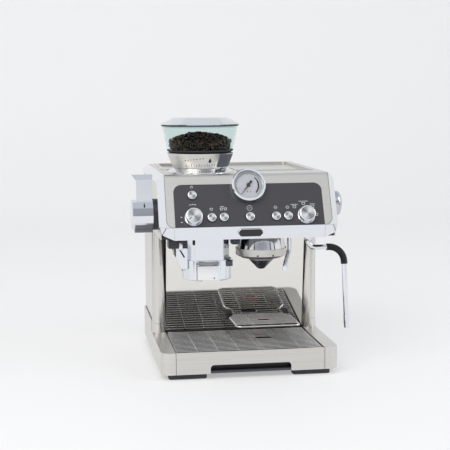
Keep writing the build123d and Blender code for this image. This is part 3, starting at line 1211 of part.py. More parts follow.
def steam_wand():
    """Swivelling steam tube with a ball under the head and a steel tip."""
    path = wand_path([(0, -WAND_IN), (0, WAND_DROP), WAND_KNEE, (WAND_REACH, WAND_FOOT)],
                     [WAND_TURN_R, WAND_KNEE_R])
    down = path % 1
    tip_end = (path @ 1) + down * (WAND_TIP_L / abs(down.Z))
    tip = tube_along(Line(path @ 1, tip_end), WAND_D / 2 + WAND_TIP_RIM)
    ball = Pos(WAND_X, WAND_Y, HEAD_BOTTOM - WAND_BALL_R - RUN) * Sphere(WAND_BALL_R)
    return tube_along(path, WAND_D / 2) + tip + ball


def wand_grip():
    """Black ribbed sleeve on the wide bend of the wand."""
    lean = WAND_LEAN / (WAND_FOOT - WAND_KNEE[1])
    start = (WAND_KNEE[0] - GRIP_REACH, WAND_KNEE[1])
    end = (WAND_KNEE[0] + GRIP_REACH * lean, WAND_KNEE[1] + GRIP_REACH)
    path = wand_path([start, WAND_KNEE, end], [WAND_KNEE_R])
    return tube_along(path, GRIP_D / 2) - tube_along(path, WAND_D / 2 + PIN_CLEAR)


# ---------------------------------------------------------------- hopper and grinder
def hopper_collar():
    """Flared chrome collar between the head and the grind ring."""
    profile = [(RING_BORE, HEAD_TOP), (NECK_FOOT_R, HEAD_TOP), (NECK_FOOT_R, HEAD_TOP + NECK_FOOT_T),
               (NECK_R, NECK_TOP), (RING_BORE, NECK_TOP)]
    return turned(HOPPER_X, HOPPER_Y, profile)


def grind_ring():
    """Steel grind-setting ring with its dark tab, dished inside for the bowl."""
    profile = [(RING_BORE, RING_BOTTOM), (NECK_R, RING_BOTTOM), (RING_R, RING_TOP),
               (RING_LIP_R, RING_TOP), (RING_BORE, RING_TOP - RING_DISH)]
    ring = turned(HOPPER_X, HOPPER_Y, profile)
    middle = (NECK_R + RING_R) / 2
    flare = (RING_R - NECK_R) / (RING_TOP - RING_BOTTOM)
    low = middle - flare * RING_H / 2
    plate = [(low - TAB_T, RING_BOTTOM), (low + TAB_OUT, RING_BOTTOM), (RING_R + TAB_OUT, RING_TOP),
             (RING_LIP_R, RING_TOP)]
    tab = extrude(Plane.XZ * make_face(Polyline(*plate, close=True)), TAB_W / 2, both=True)
    tab -= disc(0, 0, RING_BOTTOM, RING_TOP, RING_BORE)
    return ring + Pos(HOPPER_X, HOPPER_Y, 0) * Rot(0, 0, TAB_ANGLE) * tab


def hopper_bowl():
    """Smoky clear bean bowl, bevelled at the foot, with a throat into the grinder."""
    w = BOWL_WALL
    profile = [(THROAT_R, BOWL_BOTTOM - THROAT_L), (THROAT_R + w, BOWL_BOTTOM - THROAT_L),
               (THROAT_R + w, BOWL_BOTTOM), (STAND_R, BOWL_BOTTOM),
               (BOWL_FOOT_R, BOWL_BOTTOM + BOWL_BEVEL_H), (BOWL_TOP_R, BOWL_TOP),
               (BOWL_TOP_R - w, BOWL_TOP), (BOWL_FOOT_R - w, BOWL_WAIST),
               (STAND_R, BOWL_BOTTOM + w), (THROAT_R, BOWL_BOTTOM + w)]
    return turned(HOPPER_X, HOPPER_Y, profile)


def bowl_inside_r(z):
    """Inner radius of the bowl's flared wall at a height."""
    share = (z - BOWL_WAIST) / (BOWL_TOP - BOWL_WAIST)
    return BOWL_FOOT_R - BOWL_WALL + share * (BOWL_TOP_R - BOWL_FOOT_R)


def coffee_beans():
    """Heap of beans in the bowl and its throat."""
    floor = BOWL_BOTTOM + BOWL_WALL + BEAN_GAP
    low = BOWL_WAIST + BEAN_GAP
    top = BOWL_BOTTOM + BEAN_H
    edge = top - 6
    foot = STAND_R - BEAN_GAP
    profile = [(0, BOWL_BOTTOM - THROAT_L), (THROAT_R - BEAN_GAP, BOWL_BOTTOM - THROAT_L),
               (THROAT_R - BEAN_GAP, floor), (foot, floor), (bowl_inside_r(low) - BEAN_GAP, low),
               (bowl_inside_r(edge) - BEAN_GAP, edge), (bowl_inside_r(edge) - 12, top - 1), (0, top)]
    return turned(HOPPER_X, HOPPER_Y, profile)


def hopper_lid():
    """Bevelled lid with two finger scoops and a rim that drops into the bowl."""
    profile = [(0, LID_BOTTOM), (LID_R - EDGE_R, LID_BOTTOM), (LID_R, LID_BOTTOM + LID_EDGE),
               (LID_FLAT_R, LID_TOP), (0, LID_TOP)]
    lid = turned(0, 0, profile)
    rim_r = BOWL_TOP_R - BOWL_WALL - LID_RIM_GAP
    rim = disc(0, 0, LID_BOTTOM - LID_RIM_H, LID_BOTTOM, rim_r)
    rim -= disc(0, 0, LID_BOTTOM - LID_RIM_H, LID_BOTTOM, rim_r - LID_RIM_T)
    foot = LID_BOTTOM + SCOOP_FOOT
    face = [(-SCOOP_W / 2, foot), (SCOOP_W / 2, foot), (SCOOP_TOP_W / 2, LID_TOP),
            (-SCOOP_TOP_W / 2, LID_TOP)]
    scoop = extrude(Plane.XZ * make_face(Polyline(*face, close=True)), LID_R - SCOOP_Y + EDGE_R)
    scoop = Pos(0, -SCOOP_Y, 0) * scoop
    return Pos(HOPPER_X, HOPPER_Y, 0) * (lid + rim - scoop - mirror(scoop, Plane.XZ))


def grinder_motor():
    """Grinder: burr chamber with its fixed burr, gearbox and motor."""
    wall_in = CHAMBER_R - CHAMBER_WALL
    chamber = disc(HOPPER_X, HOPPER_Y, CHAMBER_FLOOR, CHAMBER_TOP, CHAMBER_R)
    chamber -= disc(HOPPER_X, HOPPER_Y, CHAMBER_FLOOR + CHAMBER_WALL, CHAMBER_TOP, wall_in)
    burr = [(BURR_EYE_R, BURR_Z), (BURR_R, BURR_Z), (wall_in, BURR_Z + BURR_H / 2),
            (wall_in, BURR_Z + BURR_H), (BURR_EYE_R + 4, BURR_Z + BURR_H)]
    chamber += turned(HOPPER_X, HOPPER_Y, burr)
    gear_low = CHAMBER_FLOOR - GEARBOX_H
    chamber += block((HOPPER_X - BURR_R, HOPPER_X + BURR_R), (HOPPER_Y - BURR_R, MOTOR_Y + MOTOR_R),
                     (gear_low, CHAMBER_FLOOR))
    chamber += disc(HOPPER_X, MOTOR_Y, HEAD_FLOOR_TOP + SEAT, gear_low, MOTOR_R)
    return chamber - disc(HOPPER_X, HOPPER_Y, gear_low + CHAMBER_WALL, CHAMBER_FLOOR + CHAMBER_WALL,
                          SPINDLE_R + PIN_CLEAR)


def burr_spindle():
    """Turning burr with its sweeper and spindle."""
    top = BURR_Z - BURR_GAP
    low = top - BURR_H - EDGE_R
    spindle = disc(HOPPER_X, HOPPER_Y, CHAMBER_FLOOR - GEARBOX_H + CHAMBER_WALL + SEAT, low, SPINDLE_R)
    burr = turned(HOPPER_X, HOPPER_Y, [(0, low), (BURR_R, low), (BURR_R, top), (BURR_EYE_R - 2, top),
                                       (0, top + BURR_H)])
    sweeper = Pos(HOPPER_X, HOPPER_Y, low - EDGE_R) * Box(2 * (BURR_R + EDGE_R), SWEEPER_W, 2 * EDGE_R)
    return spindle + burr + sweeper


# ---------------------------------------------------------------- water and works
def water_tank():
    """Smoky clear water tank with a grip on its back, open at the top."""
    x = TANK_W / 2
    tank = block((-x, x), (TANK_FRONT, BACK), (TANK_BOTTOM, TANK_TOP))
    tank = fillet(tank.edges().filter_by(Axis.Z).group_by(Axis.Y)[0], TANK_CORNER)
    tank -= block((-x + TANK_WALL, x - TANK_WALL), (TANK_FRONT + TANK_WALL, BACK - TANK_WALL),
                  (TANK_BOTTOM + TANK_WALL, TANK_TOP))
    grip_x = TANK_GRIP_W / 2
    high = TANK_TOP - TANK_GRIP_DROP
    low = high - TANK_GRIP_H
    grip = block((-grip_x, grip_x), (BACK, BACK + TANK_GRIP_OUT), (low, high))
    grip = fillet(grip.edges().filter_by(Axis.X).group_by(Axis.Y)[-1], TANK_GRIP_WALL)
    grip -= block((-grip_x + TANK_GRIP_WALL, grip_x - TANK_GRIP_WALL),
                  (BACK, BACK + TANK_GRIP_OUT - TANK_GRIP_WALL), (low, high - TANK_GRIP_WALL))
    return tank + grip


def pump():
    """Vibration pump on its feet, in front of the tank."""
    y = BULKHEAD_BACK + PUMP_GAP + PUMP_R
    z = TANK_BOTTOM + PUMP_UP + PUMP_R
    end = PUMP_L / 2
    body = bar_x(-end, end, y, z, PUMP_R - 6)
    body += block((-COIL_L / 2, COIL_L / 2), (y - PUMP_R, y + PUMP_R), (z - PUMP_R, z + PUMP_R))
    for x in (-end + PUMP_FOOT_W, end - PUMP_FOOT_W):
        body += block((x - PUMP_FOOT_W / 2, x + PUMP_FOOT_W / 2), (y - PUMP_R / 2, y + PUMP_R / 2),
                      (SHELF_TOP, z))
    return body


def boiler():
    """Cast heating block on the brew head body, piped to the valve of the steam wand."""
    x0, x1 = GROUP_X - BOILER_W / 2, GROUP_X + BOILER_W / 2
    y0, y1 = GROUP_Y - BOILER_FRONT, GROUP_Y + BOILER_BACK
    body = block((x0, x1), (y0, y1), (BOILER_BASE, BOILER_BASE + BOILER_H))
    body = fillet(body.edges().filter_by(Axis.Z), EDGE_R * 2)
    for x in (-HEATER_PITCH, 0, HEATER_PITCH):
        body += bar_y(GROUP_X + x, y0 - 4, y1 + 4, BOILER_BASE + BOILER_H * 0.7, HEATER_R)
    post_x, post_y = x1 - POST_IN, y1 - POST_IN / 3
    post = block((post_x - POST_W, post_x), (post_y - POST_W, post_y), (HEAD_FLOOR_TOP, BOILER_BASE))
    valve_x = HALF - STEAM_IN + SEAT - VALVE_W / 2
    valve = block((valve_x - VALVE_W / 2, valve_x + VALVE_W), (WAND_Y - WAND_D, STEAM_Y + SHAFT_D),
                  (WAND_TOP + SEAT, WAND_TOP + SEAT + VALVE_H))
    valve -= bar_x(HALF - STEAM_IN - SEAT, valve_x + VALVE_W, STEAM_Y, STEAM_Z, SHAFT_D / 2 + PIN_CLEAR)
    pipe = bar_x(x1 - EDGE_R * 2, valve_x, (STEAM_Y + GROUP_Y) / 2, WAND_TOP + VALVE_H / 4, HEATER_R)
    return body + post + valve + pipe


# ---------------------------------------------------------------- write the sub-parts
PARTS = {
    "base_shell": base_shell, "floor_plate": floor_plate, "feet": feet,
    "drip_pan": drip_pan, "tray_front": tray_front, "drip_grate": drip_grate, "water_float": water_float,
    "cup_tray": cup_tray, "cup_tray_marker": cup_tray_marker, "cup_tray_hinge": cup_tray_hinge,
    "columns": columns, "splash_panel": splash_panel, "inner_frame": inner_frame,
    "side_panels": side_panels, "rear_cover": rear_cover, "screws": screws,
    "power_inlet": power_inlet, "main_switch": main_switch,
    "head_shell": head_shell, "head_floor": head_floor, "side_frames": side_frames,
    "trim_strip": trim_strip, "control_fascia": control_fascia, "badge_plate": badge_plate,
    "cup_warmer": cup_warmer,
    "gauge_case": gauge_case, "gauge_dial": gauge_dial, "gauge_needle": gauge_needle,
    "gauge_lens": gauge_lens, "control_board": control_board, "steam_knob": steam_knob,
    "lever_flange": lever_flange, "tamp_lever": tamp_lever, "tamper": tamper,
    "grinder_outlet": grinder_outlet, "dosing_cradle": dosing_cradle,
    "group_shroud": group_shroud, "brew_ring": brew_ring, "diffuser_cone": diffuser_cone,
    "hot_water_spout": hot_water_spout, "steam_wand": steam_wand, "wand_grip": wand_grip,
    "hopper_collar": hopper_collar, "grind_ring": grind_ring, "hopper_bowl": hopper_bowl,
    "hopper_lid": hopper_lid, "coffee_beans": coffee_beans,
    "grinder_motor": grinder_motor, "burr_spindle": burr_spindle,
    "water_tank": water_tank, "pump": pump, "boiler": boiler,
}
for name, make in PARTS.items():
    save(name, make())
for name, x in BUTTON_XS.items():
    save(name, push_button(x, CONTROL_ROW))
save("power_button", push_button(POWER_X, POWER_UP))
save("dose_knob", turn_knob(-KNOB_X, CONTROL_ROW))
save("program_knob", turn_knob(KNOB_X, CONTROL_ROW))
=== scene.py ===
"""Looks of a pump espresso machine with a grinder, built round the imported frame.

Metres, +Z up, with the front towards -Y.
"""

import json
import random
from math import cos, degrees, pi, radians, sin

import bmesh
import bpy
from mathutils import Matrix, Vector


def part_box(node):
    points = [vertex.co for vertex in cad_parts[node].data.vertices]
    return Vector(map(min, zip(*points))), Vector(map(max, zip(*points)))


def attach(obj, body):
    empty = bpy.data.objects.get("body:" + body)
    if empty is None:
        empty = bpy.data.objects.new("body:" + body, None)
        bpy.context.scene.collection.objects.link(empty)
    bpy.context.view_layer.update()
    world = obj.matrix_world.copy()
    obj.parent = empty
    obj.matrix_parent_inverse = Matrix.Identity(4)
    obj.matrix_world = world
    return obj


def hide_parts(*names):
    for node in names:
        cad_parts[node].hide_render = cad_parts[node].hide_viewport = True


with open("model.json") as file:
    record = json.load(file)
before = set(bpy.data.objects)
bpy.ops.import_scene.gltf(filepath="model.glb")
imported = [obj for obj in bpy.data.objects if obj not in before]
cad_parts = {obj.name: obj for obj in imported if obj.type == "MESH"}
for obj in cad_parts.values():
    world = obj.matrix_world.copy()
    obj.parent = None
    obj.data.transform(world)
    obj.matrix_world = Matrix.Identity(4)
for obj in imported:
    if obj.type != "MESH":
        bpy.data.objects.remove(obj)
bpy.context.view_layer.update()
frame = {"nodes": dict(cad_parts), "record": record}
nodes = frame["nodes"]
joints = {joint["name"]: joint for joint in frame["record"]["behaviour"]["joints"]}


# ---- Camera --------------------------------------------------------------------------------------
# A long portrait lens a little to the left of the machine and above it, looking slightly down. It stands
# two metres away, so that the machine shows little perspective.
CAMERA_AT = (-0.3285, -2.0535, 0.4872)
CAMERA_YAW, CAMERA_PITCH, CAMERA_ROLL = -0.150739, 0.116800, -0.006574
CAMERA_LENS_MM, SENSOR_MM = 90.8, 36.0
camera_data = bpy.data.cameras.new("camera")
camera_data.lens = CAMERA_LENS_MM
camera_data.sensor_width = SENSOR_MM
camera = bpy.data.objects.new("camera", camera_data)
bpy.context.scene.collection.objects.link(camera)
turn = Matrix.Rotation(CAMERA_YAW, 4, "Z") @ Matrix.Rotation(pi / 2 - CAMERA_PITCH, 4, "X")
camera.matrix_world = Matrix.Translation(CAMERA_AT) @ turn @ Matrix.Rotation(CAMERA_ROLL, 4, "Z")
bpy.context.scene.camera = camera
bpy.context.scene.view_settings.view_transform = "Standard"


# ---- Worktop and wall ----------------------------------------------------------------------------
# A pale painted worktop that sweeps up into a plain wall behind the machine. The paint is rolled on and
# dries with a slightly uneven sheen. A share of plain white in what is seen of it keeps it pale under low
# lamps.
WORKTOP_COLOUR = "#F3F3F4"
WHITE_SHARE = 0.4
SWEEP_BACK, SWEEP_R, SWEEP_H, SWEEP_HALF, SWEEP_FRONT = 2.6, 0.6, 3.2, 5.0, -4.0
SWEEP_STEPS = 12


def linear(colour):
    """Linear RGBA of an sRGB hex colour."""
    parts = [int(colour[i:i + 2], 16) / 255 for i in (1, 3, 5)]
    return [c / 12.92 if c <= 0.04045 else ((c + 0.055) / 1.055) ** 2.4 for c in parts] + [1.0]


def add(tree, kind, options=None, sockets=None, links=None, stops=()):
    """One shader node with its options, socket values and links, and a ramp's (colour, position) stops."""
    made = tree.nodes.new(kind)
    for name, value in (options or {}).items():
        setattr(made, name, value)
    for name, value in (sockets or {}).items():
        made.inputs[name].default_value = value
    for name, source in (links or {}).items():
        tree.links.new(source, made.inputs[name])
    if stops:
        ends = made.color_ramp.elements
        for end, (colour, at) in zip(ends, (stops[0], stops[-1])):
            end.position = at
            end.color = linear(colour)
        for colour, at in stops[1:-1]:
            ends.new(at).color = linear(colour)
    return made


def looked_at(tree):
    """1 where the eye reaches a surface: straight, in a mirror or through glass."""
    path = add(tree, "ShaderNodeLightPath")
    either = add(tree, "ShaderNodeMath", {"operation": "MAXIMUM"}, links={
        0: path.outputs["Is Camera Ray"], 1: path.outputs["Is Glossy Ray"]})
    return add(tree, "ShaderNodeMath", {"operation": "MAXIMUM"}, links={
        0: either.outputs[0], 1: path.outputs["Is Transmission Ray"]}).outputs[0]


def new_material(name, colour, metallic, roughness, **more):
    """A material with its shader set to one plain finish. Returns the material, its tree and its shader."""
    material = bpy.data.materials.new(name)
    material.use_nodes = True
    tree = material.node_tree
    shader = tree.nodes["Principled BSDF"]
    settings = {"Base Color": linear(colour), "Metallic": metallic, "Roughness": roughness, **more}
    for socket, value in settings.items():
        shader.inputs[socket].default_value = value
    return material, tree, shader


def uneven(tree, shader, patches, spread):
    """Makes the roughness drift in soft patches, which the settings of a noise and of a range give."""
    place = add(tree, "ShaderNodeTexCoord").outputs["Object"]
    clouds = add(tree, "ShaderNodeTexNoise", sockets=patches, links={"Vector": place})
    drift = add(tree, "ShaderNodeMapRange", sockets=spread, links={"Value": clouds.outputs["Fac"]})
    tree.links.new(drift.outputs["Result"], shader.inputs["Roughness"])


def new_piece(name, mesh, material, body, smooth=True, place=None):
    """A new piece of the machine from a bmesh, with its finish, that moves with a body."""
    data = bpy.data.meshes.new(name)
    mesh.to_mesh(data)
    mesh.free()
    data.polygons.foreach_set("use_smooth", [smooth] * len(data.polygons))
    data.materials.append(material)
    piece = bpy.data.objects.new(name, data)
    bpy.context.scene.collection.objects.link(piece)
    if place:
        piece.matrix_world = place
    if body:
        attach(piece, body)
    return piece


profile = [(SWEEP_FRONT, 0.0), (SWEEP_BACK - SWEEP_R, 0.0)]
for step in range(1, SWEEP_STEPS + 1):
    angle = pi / 2 * step / SWEEP_STEPS
    profile.append((SWEEP_BACK - SWEEP_R + SWEEP_R * sin(angle), SWEEP_R - SWEEP_R * cos(angle)))
profile.append((SWEEP_BACK, SWEEP_H))
sweep = bmesh.new()
rows = [[sweep.verts.new((x, y, z)) for x in (-SWEEP_HALF, SWEEP_HALF)] for y, z in profile]
for low, high in zip(rows, rows[1:]):
    sweep.faces.new((low[0], low[1], high[1], high[0]))
painted_worktop, tree, shader = new_material("painted_worktop", WORKTOP_COLOUR, 0.0, 0.55)
uneven(tree, shader, {"Scale": 60.0, "Detail": 4.0}, {"To Min": 0.5, "To Max": 0.62})
share = add(tree, "ShaderNodeMath", {"operation": "MULTIPLY"}, {1: WHITE_SHARE}, {0: looked_at(tree)})
white = add(tree, "ShaderNodeEmission", sockets={"Color": linear("#FFFFFF"), "Strength": 1.0})
paper = add(tree, "ShaderNodeMixShader", links={
    0: share.outputs[0], 1: shader.outputs[0], 2: white.outputs[0]})
tree.links.new(paper.outputs[0], tree.nodes["Material Output"].inputs["Surface"])
worktop = new_piece("worktop", sweep, painted_worktop, None)


# ---- Studio light --------------------------------------------------------------------------------
# A bright even room with a large soft lamp high on the left and a weaker one on the right. Polished pieces
# mirror a pale ceiling, and a dark band behind the camera and a little above it. The camera sees a plain
# pale backdrop.
ROOM_LIGHT, ROOM_LIGHT_COLOUR = 0.60, "#F6F8FC"
BACKDROP_COLOUR = "#E9EAEC"
ROOM = (("#D8D8DA", 0.0), ("#E6E5E2", 0.47), ("#F4F3F0", 0.56), ("#FFFFFF", 0.70), ("#E4E8EE", 0.86),
        ("#C9CED6", 1.0))
BEHIND = (("#D8D8DA", 0.0), ("#E6E7EA", 0.50), ("#DFE1E5", 0.60), ("#74757D", 0.625), ("#5C5C63", 0.68),
          ("#C9CBD0", 0.72), ("#FFFFFF", 0.80), ("#E4E8EE", 0.90), ("#C9CED6", 1.0))
BEHIND_FROM, BEHIND_FULL = -0.35, -0.8
LAMP_TARGET = (0, 0, 0.2)
LAMPS = (("key_lamp", (-1.7, -1.9, 2.3), (2.4, 2.4), 60.0, "#FFFDF8"),
         ("fill_lamp", (2.2, -1.2, 1.6), (1.2, 1.6), 18.0, "#F3F7FF"))       # place, size, watts, colour
world = bpy.data.worlds.new("room")
world.use_nodes = True
bpy.context.scene.world = world
tree = world.node_tree
tree.nodes.clear()
direction = add(tree, "ShaderNodeTexCoord")
parts = add(tree, "ShaderNodeSeparateXYZ", links={"Vector": direction.outputs["Generated"]})
height = add(tree, "ShaderNodeMapRange", sockets={"From Min": -1.0, "From Max": 1.0},
             links={"Value": parts.outputs["Z"]}).outputs["Result"]
facing = add(tree, "ShaderNodeMapRange", {"interpolation_type": "SMOOTHSTEP"},
             {"From Min": BEHIND_FROM, "From Max": BEHIND_FULL, "To Min": 0.0, "To Max": 1.0},
             {"Value": parts.outputs["Y"]})
room = add(tree, "ShaderNodeMix", {"data_type": "RGBA"}, {}, {"Factor": facing.outputs["Result"]})
for socket, stops in ((6, ROOM), (7, BEHIND)):
    colours = add(tree, "ShaderNodeValToRGB", links={"Fac": height}, stops=stops)
    tree.links.new(colours.outputs["Color"], room.inputs[socket])
mirrored = add(tree, "ShaderNodeBackground", sockets={"Strength": 1.0}, links={"Color": room.outputs[2]})
plain = add(tree, "ShaderNodeBackground", sockets={"Color": linear(BACKDROP_COLOUR), "Strength": 1.0})
light = add(tree, "ShaderNodeBackground", sockets={
    "Color": linear(ROOM_LIGHT_COLOUR), "Strength": ROOM_LIGHT})
path = add(tree, "ShaderNodeLightPath")
seen = add(tree, "ShaderNodeMixShader", links={
    0: path.outputs["Is Camera Ray"], 1: mirrored.outputs[0], 2: plain.outputs[0]})
mixed = add(tree, "ShaderNodeMixShader", links={0: looked_at(tree), 1: light.outputs[0], 2: seen.outputs[0]})
add(tree, "ShaderNodeOutputWorld", links={"Surface": mixed.outputs[0]})
for name, place, size, power, colour in LAMPS:
    lamp_data = bpy.data.lights.new(name, "AREA")
    lamp_data.shape = "RECTANGLE"
    lamp_data.size, lamp_data.size_y = size
    lamp_data.energy = power
    lamp_data.color = linear(colour)[:3]
    lamp = bpy.data.objects.new(name, lamp_data)
    lamp.location = place
    lamp.rotation_mode = "QUATERNION"
    lamp.rotation_quaternion = (Vector(LAMP_TARGET) - Vector(place)).to_track_quat("-Z", "Y")
    bpy.context.scene.collection.objects.link(lamp)


# ---- Dark flags ----------------------------------------------------------------------------------
# Narrow dark cloths on stands in a ring round the machine, woven and dull all over. They show only in
# polished metal, as the fine dark lines along its rounded edges.
FLAG_COLOUR = "#3C3C40"
FLAG_RING, FLAG_FOOT, FLAG_HEAD = 1.25, 0.02, 1.1
FLAG_PLACES = (("far_left_flag", -100, 0.15), ("left_flag", -66, 0.07), ("near_left_flag", -38, 0.05),
               ("near_right_flag", 34, 0.05), ("right_flag", 54, 0.06))       # degrees, half width
WEAVE_MM = 2.5
cloth, tree, shader = new_material("black_cloth", FLAG_COLOUR, 0.0, 0.9)
weave = add(tree, "ShaderNodeTexNoise", sockets={"Scale": 1000.0 / WEAVE_MM},
            links={"Vector": add(tree, "ShaderNodeTexCoord").outputs["Object"]})
bump = add(tree, "ShaderNodeBump", sockets={"Strength": 0.2, "Distance": 0.0005},
           links={"Height": weave.outputs["Fac"]})
tree.links.new(bump.outputs["Normal"], shader.inputs["Normal"])
for name, turned, half in FLAG_PLACES:
    out = Vector((sin(radians(turned)), -cos(radians(turned)), 0)) * FLAG_RING
    ends = [out + Vector((-out.y, out.x, 0)) * side * half / FLAG_RING for side in (-1, 1)]
    heights = (FLAG_FOOT, FLAG_FOOT, FLAG_HEAD, FLAG_HEAD)
    flag = bmesh.new()
    flag.faces.new([flag.verts.new((end.x, end.y, z)) for end, z in zip(ends + ends[::-1], heights)])
    flag = new_piece(name, flag, cloth, None, False)
    flag.visible_camera = flag.visible_diffuse = flag.visible_shadow = flag.visible_transmission = False


# ---- Base skirt, floor plate and feet ------------------------------------------------------------
# The skirt is stainless sheet, pressed, welded and ground with a belt. Its fine parallel lines are a tenth
# of a millimetre apart; they are drawn at about 2 mm, with finer ones on top, so that they show. The floor
# plate is moulded dark plastic, clipped in from below; the feet are moulded rubber pushed into it.
STEEL_COLOUR = "#DAD8D3"
LINE_SPACING, LINE_RUN = 0.0022, 1 / 3
LINE_SHINE, CLOUD_SHINE = 0.16, 0.08        # how far the roughness swings from line to line and in patches


def give(material, *names):
    """Puts one finish on CAD nodes."""
    for name in names:
        slots = nodes[name].data.materials
        for i in range(len(slots)):
            slots[i] = material


def brushed_steel(name, along, axis, colour=STEEL_COLOUR, rough=0.27, depth=0.00002):
    """Brushed steel with lines along the axes marked 1 in along. Highlights turn round axis."""
    material, tree, shader = new_material(name, colour, 1.0, rough, Anisotropic=0.55)
    place = add(tree, "ShaderNodeTexCoord").outputs["Object"]
    scale = [1.0 / (LINE_RUN if run else LINE_SPACING) for run in along]
    stretched = add(tree, "ShaderNodeMapping", sockets={"Scale": scale}, links={"Vector": place})
    lines = add(tree, "ShaderNodeTexNoise", sockets={"Scale": 1.0, "Detail": 5.0, "Roughness": 0.65},
                links={"Vector": stretched.outputs["Vector"]})
    clouds = add(tree, "ShaderNodeTexNoise", sockets={"Scale": 14.0, "Detail": 3.0}, links={"Vector": place})
    shade = add(tree, "ShaderNodeMath", {"operation": "MULTIPLY_ADD"},
                {1: LINE_SHINE, 2: rough - LINE_SHINE / 2}, {0: lines.outputs["Fac"]})
    shade = add(tree, "ShaderNodeMath", {"operation": "MULTIPLY_ADD"}, {1: CLOUD_SHINE},
                {0: clouds.outputs["Fac"], 2: shade.outputs[0]})
    tree.links.new(shade.outputs[0], shader.inputs["Roughness"])
    tone = add(tree, "ShaderNodeMapRange", {},
               {"From Min": 0.3, "From Max": 0.7, "To Min": 0.93, "To Max": 1.04},
               {"Value": lines.outputs["Fac"]})
    tinted = add(tree, "ShaderNodeVectorMath", {"operation": "SCALE"}, {0: linear(colour)[:3]},
                 {"Scale": tone.outputs["Result"]})
    tree.links.new(tinted.outputs["Vector"], shader.inputs["Base Color"])
    bump = add(tree, "ShaderNodeBump", sockets={"Strength": 0.35, "Distance": depth},
               links={"Height": lines.outputs["Fac"]})
    tree.links.new(bump.outputs["Normal"], shader.inputs["Normal"])
    tangent = add(tree, "ShaderNodeTangent", {"direction_type": "RADIAL", "axis": axis})
    tree.links.new(tangent.outputs["Tangent"], shader.inputs["Tangent"])
    return material


def moulded(name, colour, rough, grain_mm=0.8, depth=0.00004):
    """Moulded plastic or lacquer with the fine grain of a spark-eroded mould."""
    material, tree, shader = new_material(name, colour, 0.0, rough, IOR=1.54)
    place = add(tree, "ShaderNodeTexCoord").outputs["Object"]
    grain = add(tree, "ShaderNodeTexNoise", sockets={"Scale": 1000.0 / grain_mm, "Detail": 2.0},
                links={"Vector": place})
    bump = add(tree, "ShaderNodeBump", sockets={"Strength": 0.3, "Distance": depth},
               links={"Height": grain.outputs["Fac"]})
    tree.links.new(bump.outputs["Normal"], shader.inputs["Normal"])
    uneven(tree, shader, {"Scale": 30.0, "Detail": 3.0}, {"To Min": rough - 0.05, "To Max": rough + 0.07})
    return material


give(brushed_steel("steel_brushed_round", (1, 1, 0), "Z"), "base_shell")
give(moulded("dark_grey_abs", "#3B3B45", 0.45), "floor_plate")
give(moulded("grey_rubber", "#3A3A42", 0.7), "feet")


# ---- Drip tray: pan, steel front, wire grate and float -------------------------------------------
# A black moulded pan with a brushed steel front clipped on. The grate is stainless wire, spot welded and
# tumbled, and the float is a dark red moulding on a stem.
steel_across = brushed_steel("steel_brushed_across", (1, 0, 0), "X")
black_abs = moulded("black_abs", "#1D1D21", 0.42)


def polished(name, colour, rough, haze):
    """A polished metal whose roughness drifts a little, as wiping leaves it."""
    material, tree, shader = new_material(name, colour, 1.0, rough)
    uneven(tree, shader, {"Scale": 22.0, "Detail": 4.0, "Distortion": 0.6},
           {"From Min": 0.35, "From Max": 0.7, "To Min": rough, "To Max": rough + haze})
    return material


wire_steel = polished("stainless_wire", "#DCDAD6", 0.12, 0.06)
give(black_abs, "drip_pan")
give(steel_across, "tray_front")
give(wire_steel, "drip_grate")
give(moulded("dark_red_abs", "#6A1A16", 0.4), "water_float")


# ---- Folding cup tray ----------------------------------------------------------------------------
# A small grid of the same welded wire on a thicker wire rim, with a red plastic marker clipped under its
# window. Two black moulded brackets on the splash panel hold its pins.
give(wire_steel, "cup_tray")
give(moulded("red_abs", "#C2281F", 0.3), "cup_tray_marker")
give(black_abs, "cup_tray_hinge")


# ---- Columns and splash panel --------------------------------------------------------------------
# The columns are stainless tube, ground lengthwise. The splash panel between them is sheet steel, polished
# to a mirror, and stands on the sill of the floor plate.
give(brushed_steel("steel_brushed_upright", (0, 0, 1), "Z", rough=0.2), "columns")
give(polished("mirror_polished_steel", "#E6E4DF", 0.03, 0.03), "splash_panel")


# ---- Side panels, rear cover and mains inlet -----------------------------------------------------
# Folded stainless side panels, ground from front to back. The rear cover is zinc-plated sheet held by six
# screws, and the mains inlet with its rocker switch is a black moulding snapped into it.
give(brushed_steel("steel_brushed_front_to_back", (0, 1, 0), "Y"), "side_panels")
zinc = polished("zinc_plate", "#A9ABAD", 0.35, 0.15)
give(zinc, "rear_cover", "screws")
give(black_abs, "power_inlet", "main_switch")


# ---- Head plate, cup warmer and underside --------------------------------------------------------
# One folded stainless sheet, ground from side to side, makes the sloped front and the top. The cup warmer
# is a pressed tray let into the top, and the underside of the head is a black moulding.
give(steel_across, "head_shell", "cup_warmer")
give(black_abs, "head_floor")


# ---- Chrome side frames, strip and badge plate ---------------------------------------------------
# Moulded frames with a nickel and chrome plate, screwed on from inside. Dark joint lines show where they
# meet, and a plated corner fills each lower corner of the front plate. The bare badge plate is enamelled
# black, with a plated rim.
CHROME_COLOUR = "#E3E6EB"
PANEL_Y, PANEL_FOOT, PANEL_TILT = -0.181, 0.262, radians(25)
FRAME_IN, FRAME_OUT = 0.142, 0.154          # half widths over the inner and outer faces of the frames
SEAM_W, SEAM_HEAD = 0.0006, 0.0925
FOOT_SEAM = ((FRAME_IN + 0.0005, 0.2625), (FRAME_OUT - 0.0048, 0.2495))       # its ends, as across and height
CORNER_R, CORNER_STEPS = 0.0125, 10
RIM_W, RIM_OUT = 0.0011, 0.0005
SKIN = 0.0001               # how far print and joint lines lie over what carries them
chrome = polished("chrome_plate", CHROME_COLOUR, 0.07, 0.06)
# One black for joint lines and print, and for the dark patches of painted shade in the cradle bracket's holes
# and the collar's dimples.
black_print_and_shade = moulded("black_print_joints_and_shade", "#242428", 0.8)
give(chrome, "side_frames", "trim_strip")
give(moulded("black_enamel", "#17171A", 0.18, grain_mm=2.0, depth=0.000005), "badge_plate")


